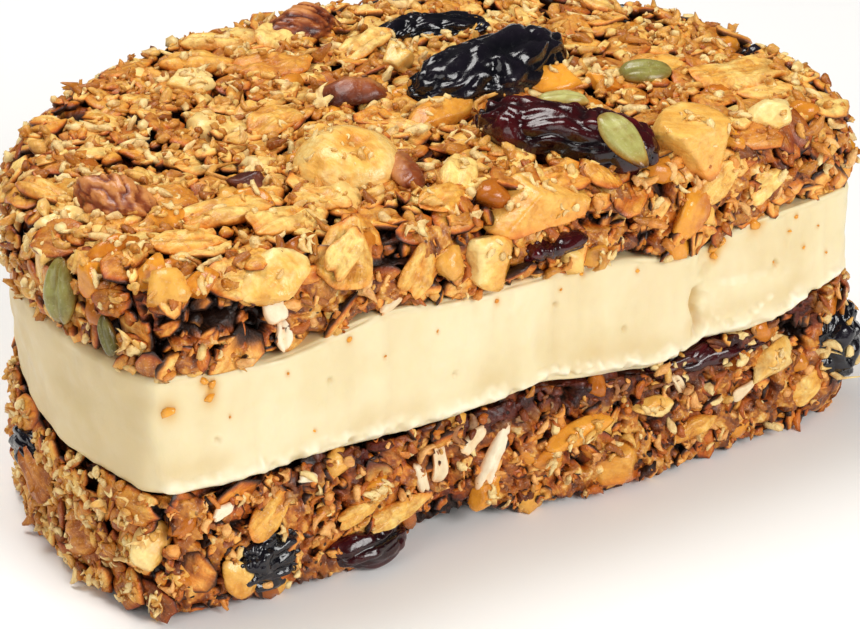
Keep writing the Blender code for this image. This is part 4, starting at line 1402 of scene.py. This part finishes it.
FOLDS = ((2.4, 0.85), (1.2, 0.70), (0.6, 0.32))  # size and weight of each noise
FOLD_WEIGHTS = 1.87  # their weights together
FOLD_HEIGHT = 1.35
MEAN_FOLD = 0.52
PLUMPNESS = (0.94, 0.94, 0.94)  # power of each direction, below 1 for a fuller ball
PRESSED_FOLDS = 0.62  # how much finer folds are on fruits that are pressed together


def wrinkled(size, bend, seed, fold_scale, rows, around):
    """A ball drawn out along X, bent sideways, with folded noise times a scale, and how high
    each point's fold is."""
    ball = ball_grid((np.arange(rows) + 0.5) / rows * math.pi, around)
    half = np.array(size) / 2
    points = np.sign(ball) * np.abs(ball) ** np.array(PLUMPNESS) * half
    drawn = points * np.array([0.42, 1.0, 1.0]) + 0.8 * lumps(points, 3.0, seed)[..., None]
    fold = sum(
        weight * (1 - (1 - np.abs(lumps(drawn, wide * fold_scale, seed + number))) ** 2)
        for number, (wide, weight) in enumerate(FOLDS)
    )
    fold = fold / FOLD_WEIGHTS
    points = points + (FOLD_HEIGHT * (fold - MEAN_FOLD))[..., None] * unit(ball / half)
    points[..., 1] += bend * size[1] * ((points[..., 0] / half[0]) ** 2 - 0.4)
    return points, fold


def lay_fruit(node, finish, bend, seed):
    """A big dried fruit in its solid's place. A tall one is a few fruits pressed together, so
    its folds are finer. Returns its skin."""
    size = BIG[node][0]
    fold_scale = PRESSED_FOLDS if size[2] > 6.0 and size[0] < 10 else 1.0
    local, fold = wrinkled(size, bend, seed, fold_scale, 84, 96)
    points = local @ axes_of(node) + middle_of(node)
    points[..., 2] = np.maximum(points[..., 2], 0.05)
    # The tint mark is the fold's height, which the finish turns into painted shade in the valleys.
    put_skin(node + "_skin", points, finish, [node], {"tint": fold})
    return points, outward(points)


raisin_finish = fruit_material("raisin_skin", (0.002, 0.002, 0.004), (0.016, 0.011, 0.020), 0.5)
cranberry_finish = fruit_material("cranberry_skin", (0.004, 0.001, 0.002), (0.11, 0.006, 0.008), 0.45)
RAISINS = (
    "raisin_rear", "raisin_far", "raisin_right_rim", "raisin_back_rim",
    "raisin_corner", "raisin_cut", "raisin_left_rim",
)
CRANBERRIES = ("cranberry_front", "cranberry_cut", "cranberry_base", "cranberry_under_cream")
fruit_skins = {}
for number, node in enumerate(RAISINS):
    bend, seed = 0.12 * (-1) ** number, 200 + 10 * number
    fruit_skins[node] = lay_fruit(node, raisin_finish, bend, seed)
for number, node in enumerate(CRANBERRIES):
    bend, seed = 0.10 * (-1) ** number, 300 + 10 * number
    fruit_skins[node] = lay_fruit(node, cranberry_finish, bend, seed)

# %% [markdown]
# ## Large nuts
#
# A macadamia is a smooth round kernel with a few dimples. A broken peanut or
# cashew has flat faces. An almond keeps its red-brown ribbed skin. All start from the same
# two forms, a ball or a chunk, on a finer grid, with their own relief.

# %% Macadamia, wedges and almonds
def bell(points, middle, radius):
    """1 at a middle, falling away as a bell curve with a radius."""
    return np.exp(-((points - np.array(middle)) ** 2).sum(axis=-1) / radius**2)


def lay_big_nut(
    node, finish, planes, blunt, relief_mm, groove_mm, tints,
    dimples=(), back=0.0, scale=1.0, faces=None,
):
    """A big nut in its solid's place: a chunk, with lumps, with grooves along its length, and
    with dimples (middle, radius, depth) that are darker inside, set back into the cut. Its
    underside is darkened as painted shade.
    Returns its skin."""
    size = np.array([BIG[node][0]]) * scale
    local = chunks(1, size, planes, blunt, 48, 72, faces)[0]
    rough = relief_mm * (lumps(local, 1.6, 400) + 0.5 * lumps(local, 0.7, 401))
    across_ribs = np.array([[0.08, 0.70, 0.0], [-0.08, 0.70, 0.0], [0.0, 0.0, 1.0]])
    ribbed = local @ across_ribs
    groove = np.abs(lumps(ribbed, 0.55, 402)) + 0.5 * np.abs(lumps(ribbed, 0.3, 405))
    dip = sum(deep * bell(local, middle, radius) for middle, radius, deep in dimples)
    local = local * (1 + (rough + groove_mm * (groove - 0.5) - dip)[..., None] / (size.mean() / 2))
    points = local @ axes_of(node) + middle_of(node) + np.array([0.0, back, 0.0])
    points[..., 2] = np.maximum(points[..., 2], 0.05)
    ribs = 1.2 * (groove - 0.5) * (groove_mm > 0)
    tint = tints[0] + (tints[1] - tints[0]) * (0.5 + 0.5 * lumps(points, 2.4, 403)) + ribs - 0.7 * dip
    # Depth is painted shade towards the underside; it also grows in the dimples and by noise.
    low = middle_of(node)[2] - 0.05 * size[0, 2] - points[..., 2]
    depth = np.clip(low / 3.5 + 0.75 * dip + 0.25 * lumps(points, 1.8, 404) * (groove_mm == 0), 0, 0.7)
    marks = {"tint": tint, "depth": depth, "grain": ribbed}
    put_skin(node + "_kernel", points, finish, [node], marks)
    return points, outward(points)


MACADAMIA_DIMPLES = (
    ((0.6, -1.0, 3.6), 1.5, 0.9),
    ((2.2, -2.6, 2.6), 0.9, 0.6),
    ((-2.6, -3.0, 1.6), 0.7, 0.5),
    ((1.6, 2.4, 3.0), 0.6, 0.5),
)
WEDGE_DIMPLES = (((1.6, -2.0, -1.2), 1.4, 0.4), ((-2.6, -1.4, 1.0), 1.0, 0.3))
WEDGE_FACES = (  # a broken third of a nut, seen flat side on, with its ridge up
    ((0.05, -1.0, 0.10), 0.66),
    ((-0.80, -0.15, 0.60), 0.62),
    ((0.55, -0.15, 0.80), 0.60),
    ((0.05, 0.0, -1.0), 0.66),
    ((0.95, 0.0, -0.25), 0.95),
    ((0.0, 1.0, 0.0), 0.9),
)
PEANUT_FACES = (  # a peanut half, blunt at the top and drawn to a point below
    ((-0.15, -1.0, 0.15), 0.70),
    ((0.0, -0.2, 1.0), 0.72),
    ((-0.90, -0.1, -0.45), 0.66),
    ((0.90, -0.2, -0.40), 0.70),
    ((0.1, 0.1, -1.0), 0.95),
    ((0.0, 1.0, 0.0), 0.9),
)
nut_skins = {
    "upper": [
        lay_big_nut(
            "macadamia", nut_finish, 80, 14, 0.03, 0.0, (0.72, 0.98),
            dimples=MACADAMIA_DIMPLES, scale=1.14,
        ),
        lay_big_nut(
            "nut_wedge", nut_finish, 6, 26, 0.12, 0.0, (0.45, 0.70),
            scale=1.12, faces=WEDGE_FACES,
        ),
        lay_big_nut(
            "peanut_right", nut_finish, 6, 18, 0.12, 0.0, (0.50, 0.85),
            scale=1.16, faces=PEANUT_FACES,
        ),
    ],
    "lower": [
        lay_big_nut(
            "nut_base", nut_finish, 8, 36, 0.16, 0.0, (0.25, 0.55),
            dimples=WEDGE_DIMPLES, back=0.3,
        ),
    ],
}
lay_big_nut("almond_left", almond_finish, 12, 9, 0.06, 0.42, (0.35, 0.9))
lay_big_nut("almond_rear", almond_finish, 12, 9, 0.06, 0.36, (0.15, 0.65))


def lay_stuck_crumbs(name, cookie, skins, count, sizes):
    """Crumbs stuck to nuts, listed pieces or fruit, where their skins look up or forwards."""
    node, _, _, limits = COOKIES[cookie]
    at = np.concatenate([points.reshape(-1, 3) for points, _ in skins])
    facing = np.concatenate([normals.reshape(-1, 3) for _, normals in skins])
    seen = (facing[:, 2] > 0.2) | (facing[:, 1] < -0.6)
    pick = rng.choice(np.flatnonzero(seen), count, replace=False)
    size, lean = rng.uniform(*sizes, count), rng.normal(0, 0.4, (2, count))
    frames = axes(facing[pick], rng.uniform(0, math.tau, count), *lean)
    points, height = laid(blobs(count, size), at[pick], facing[pick], 0.1 * size, frames)
    marks = {"tint": tint_of(count, 0.7, 1.3) + 0 * height, "depth": 0 * height}
    put_piece(name, above_joint(points, *limits), floury_finish, [node], marks)


def outer_side(points, facing):
    """The points of listed pieces that lie on the side they face."""
    middle = points.mean(axis=(1, 2), keepdims=True)
    beyond = ((points - middle) * facing).sum(axis=-1)
    tall = np.ptp(points[..., 2], axis=(1, 2))[:, None, None]
    outer = beyond > 0.25 * tall
    return points[outer], facing[outer]


CRUMBED = ("golden_nuts", "amber_bits", "broad_oats")  # the listed kinds that crumbs stick to
for cookie, on_big, on_listed in (("upper", 50, 150), ("lower", 20, 70)):
    lay_stuck_crumbs(f"crumbs_on_{cookie}_nuts", cookie, nut_skins[cookie], on_big, (0.35, 0.9))
    listed = [outer_side(*placed_skins[cookie, kind]) for kind in CRUMBED]
    lay_stuck_crumbs(f"crumbs_on_{cookie}_bits", cookie, listed, on_listed, (0.35, 1.0))
corner_fruit = [fruit_skins["raisin_corner"], fruit_skins["cranberry_under_cream"]]
lay_stuck_crumbs("crumbs_on_lower_fruit", "lower", corner_fruit, 60, (0.5, 1.5))

# %% [markdown]
# ## The cream
#
# The filling is a firm, pale cream that the knife has dragged: soft vertical smears, a few
# pinholes, a torn lip where it was pulled away from the lower cookie, and rounded edges. Its
# skin is the layer's own grid, moved by those marks one after another, because every mark is
# then a named height at a named place.

# %% Cream finish
def make_cream_finish():
    """Pale yellow, darker in hollows and on its sides as painted shade, with light that passes
    into it a little way.
    """
    material, tree, shader = new_material("sweet_cream")
    cloud = stretch(tree, noise(tree, 6.0, 3.0, 0.3), 0.35, 0.65, 0.0, 1.0)
    base = mix(tree, "MIX", cloud, (0.770, 0.650, 0.385, 1.0), (0.825, 0.715, 0.460, 1.0))
    shaded = mix(tree, "MULTIPLY", mark(tree, "depth"), base, (0.74, 0.56, 0.30, 1.0))
    shaded = mix(tree, "MIX", mark(tree, "pale"), shaded, (0.94, 0.86, 0.66, 1.0))
    shaded = mix(tree, "MIX", mark(tree, "stain"), shaded, (0.66, 0.34, 0.060, 1.0))
    tree.links.new(shaded, shader.inputs["Base Color"])
    gloss = stretch(tree, noise(tree, 2.0, 3.0), 0.35, 0.65, 0.34, 0.50)
    tree.links.new(gloss, shader.inputs["Roughness"])
    set_inputs(shader, Subsurface_Weight=0.35, Subsurface_Scale=0.0016, Specular_IOR_Level=0.4)
    shader.inputs["Subsurface Radius"].default_value = (1.0, 0.75, 0.4)
    bump(tree, shader, noise(tree, 0.55, 3.0, 0.3), 0.30, 0.12)
    return material


cream_finish = make_cream_finish()

# %% Cream skin
CREAM_ROWS = (24, 14, 40)
CREAM_AROUND = 640
CREAM_EDGES = (0.8, 1.0, 0.08, 0.10)
PINHOLES = ((10.5, 16.2), (-7.6, 16.7), (-20.0, 19.5), (3.0, 20.6), (-31.0, 17.0), (27.0, 18.6))  # x, z
TEAR_X = 18.8
TEAR_SPAN = (12.5, 18.4)


def smears(points):
    """Marks of the knife: noise drawn out upwards, strongest on the cut."""
    x, y, z = np.moveaxis(points, -1, 0)
    upright = np.stack([x, 0.3 * y, 0.16 * z], axis=-1)
    broad = 0.42 * lumps(upright, 4.5, 500) + 0.17 * lumps(upright, 1.4, 501)
    return broad + 0.07 * lumps(upright, 0.7, 505)


def cream_skin():
    """The cream's grid with waves, smears, pinholes, the tear and its curled lip."""
    face = (raised(lower_top, 2 * JOINT - 0.5), raised(upper_base, 0.5), CREAM_BULGES)
    skin = layer_skin(*face, CREAM_INSET, profile(*CREAM_EDGES, CREAM_ROWS), CREAM_AROUND)
    normals = outward(skin)
    x, _, z = np.moveaxis(skin, -1, 0)
    cut = on_cut(skin, normals)
    spread = lumps(skin * np.array([1.0, 1.0, 2.2]), 6.0, 509) + 0.4 * lumps(skin, 2.2, 510)
    push = 0.25 * lumps(skin, 9.0, 502) + cut * smears(skin) + 0.05 * lumps(skin, 0.9, 503)
    push = push + 0.45 * spread * (1 - cut) * between(np.hypot(normals[..., 0], normals[..., 1]), 0.3, 0.8)
    for at, height in PINHOLES:
        push = push - cut * 0.5 * np.exp(-((x - at) ** 2 + (z - height) ** 2) / 0.06)
    inside = between(z, TEAR_SPAN[0], TEAR_SPAN[0] + 1.5) * between(TEAR_SPAN[1] - z, 0, 1.2)
    wander = TEAR_X + 0.6 * lumps(np.stack([0 * z, 0 * z, z], -1), 1.8, 504)
    push = push - cut * inside * 0.9 * np.exp(-(((x - wander) / 0.35) ** 2))
    push = push + cut * inside * 0.5 * between(x - wander, 0.1, 1.2) * (1 - between(x, 24, 31))
    above = z - lower_top(x, skin[..., 1])
    shred = lumps(skin, 1.3, 506) + 0.6 * lumps(skin, 0.6, 507)
    push = push + cut * between(z, 13.0, 15.0) * 0.40 * shred * np.exp(-(((x - wander - 1.0) / 1.3) ** 2))
    lip = np.exp(-(((above - 1.0 - 0.5 * shred) / 0.6) ** 2)) * cut
    push = push + lip * (0.30 + 0.45 * shred)
    torn = np.exp(-(((x - 24.5) / 4.5) ** 2) - ((z - 14.6 - 0.5 * shred) / 0.9) ** 2) * cut
    push = push + 0.55 * torn * shred
    # Depth is painted shade in the pinholes, the tear and other hollows of the cut, and on the sides that
    # face away from the cut.
    depth = np.clip(-push * 0.7, 0, 1) * cut + 0.40 * (1 - between(-normals[..., 1], 0.3, 0.9))
    # Depth also darkens a patchy band just above the lip.
    patches = between(lumps(skin, 4.0, 508), -0.4, 0.4)
    depth = depth + 0.30 * np.exp(-(((above - 2.6) / 1.3) ** 2)) * cut * patches
    pale = np.clip(lip * (0.5 + 0.5 * shred) + torn * between(shred, 0.0, 0.5), 0, 1)
    points = skin + push[..., None] * normals
    stain = sum(
        np.exp(-(((x - at) / (0.45 * size)) ** 2) - ((z - height) / (0.65 * size)) ** 2)
        for at, height, size in CREAM_CRUMBS
    )
    put_skin("cream", points, cream_finish, ["cream_filling"], {
        "depth": np.clip(depth, 0, 1),
        "pale": pale,
        "stain": np.clip(0.75 * stain * cut, 0, 1),
    })
    return points.reshape(-1, 3), normals.reshape(-1, 3)


CREAM_CRUMBS = (  # x, z and size in mm of the crumbs dragged over the cream by the knife
    (-35.2, 20.6, 1.6), (-31.6, 21.2, 1.5), (-31.4, 22.3, 1.2), (-32.2, 22.9, 1.0), (20.7, 20.5, 1.2),
    (20.4, 21.4, 1.6), (21.3, 21.9, 1.4), (24.6, 23.0, 1.7), (25.2, 23.6, 1.2), (28.4, 21.4, 0.5),
    (30.2, 19.4, 0.5), (27.0, 18.4, 0.4), (29.1, 22.8, 0.6), (31.8, 21.0, 0.4), (-29.8, 18.9, 0.4),
    (-24.2, 21.4, 0.5), (-14.6, 20.3, 0.4), (3.4, 22.0, 0.4), (-9.4, 21.4, 0.4), (11.8, 21.6, 0.6),
    (33.0, 18.0, 0.5), (-3.2, 22.6, 0.7), (5.8, 22.9, 0.6), (-18.0, 22.8, 0.7), (-21.6, 15.2, 0.4),
)


def lay_cream_crumbs(skin):
    """Amber crumbs on the cream, each at the cut's nearest point to its x and z."""
    points, normals = skin
    front = points[:, 1] < FRONT_Y + 4
    points, normals = points[front], normals[front]
    x, z, size = np.array(CREAM_CRUMBS).T
    gap = (points[None, :, 0] - x[:, None]) ** 2 + (points[None, :, 2] - z[:, None]) ** 2
    near, count = gap.argmin(axis=1), len(x)
    frames = random_axes(normals[near], 0.3)
    local = chunks(count, size[:, None] * np.array([0.8, 0.55, 0.5]), 7, 16, 7, 12)
    grids, height = laid(local, points[near], normals[near], 0 * size, frames)
    marks = {"tint": tint_of(count, 0.7, 1.2) + 0 * height, "depth": 0 * height}
    put_piece("crumbs_on_cream", grids, syrup_finish, ["cream_filling"], marks)


lay_cream_crumbs(cream_skin())

# %% [markdown]
# ## The floor's finish
#
# The floor is plain and pale, so that it takes a soft shadow and nothing else.

# %% Floor
floor_finish, floor_tree, floor_shader = new_material("plain_floor")
set_inputs(floor_shader, Base_Color=(0.93, 0.93, 0.925, 1.0), Roughness=0.8)
floor_mesh.materials.append(floor_finish)
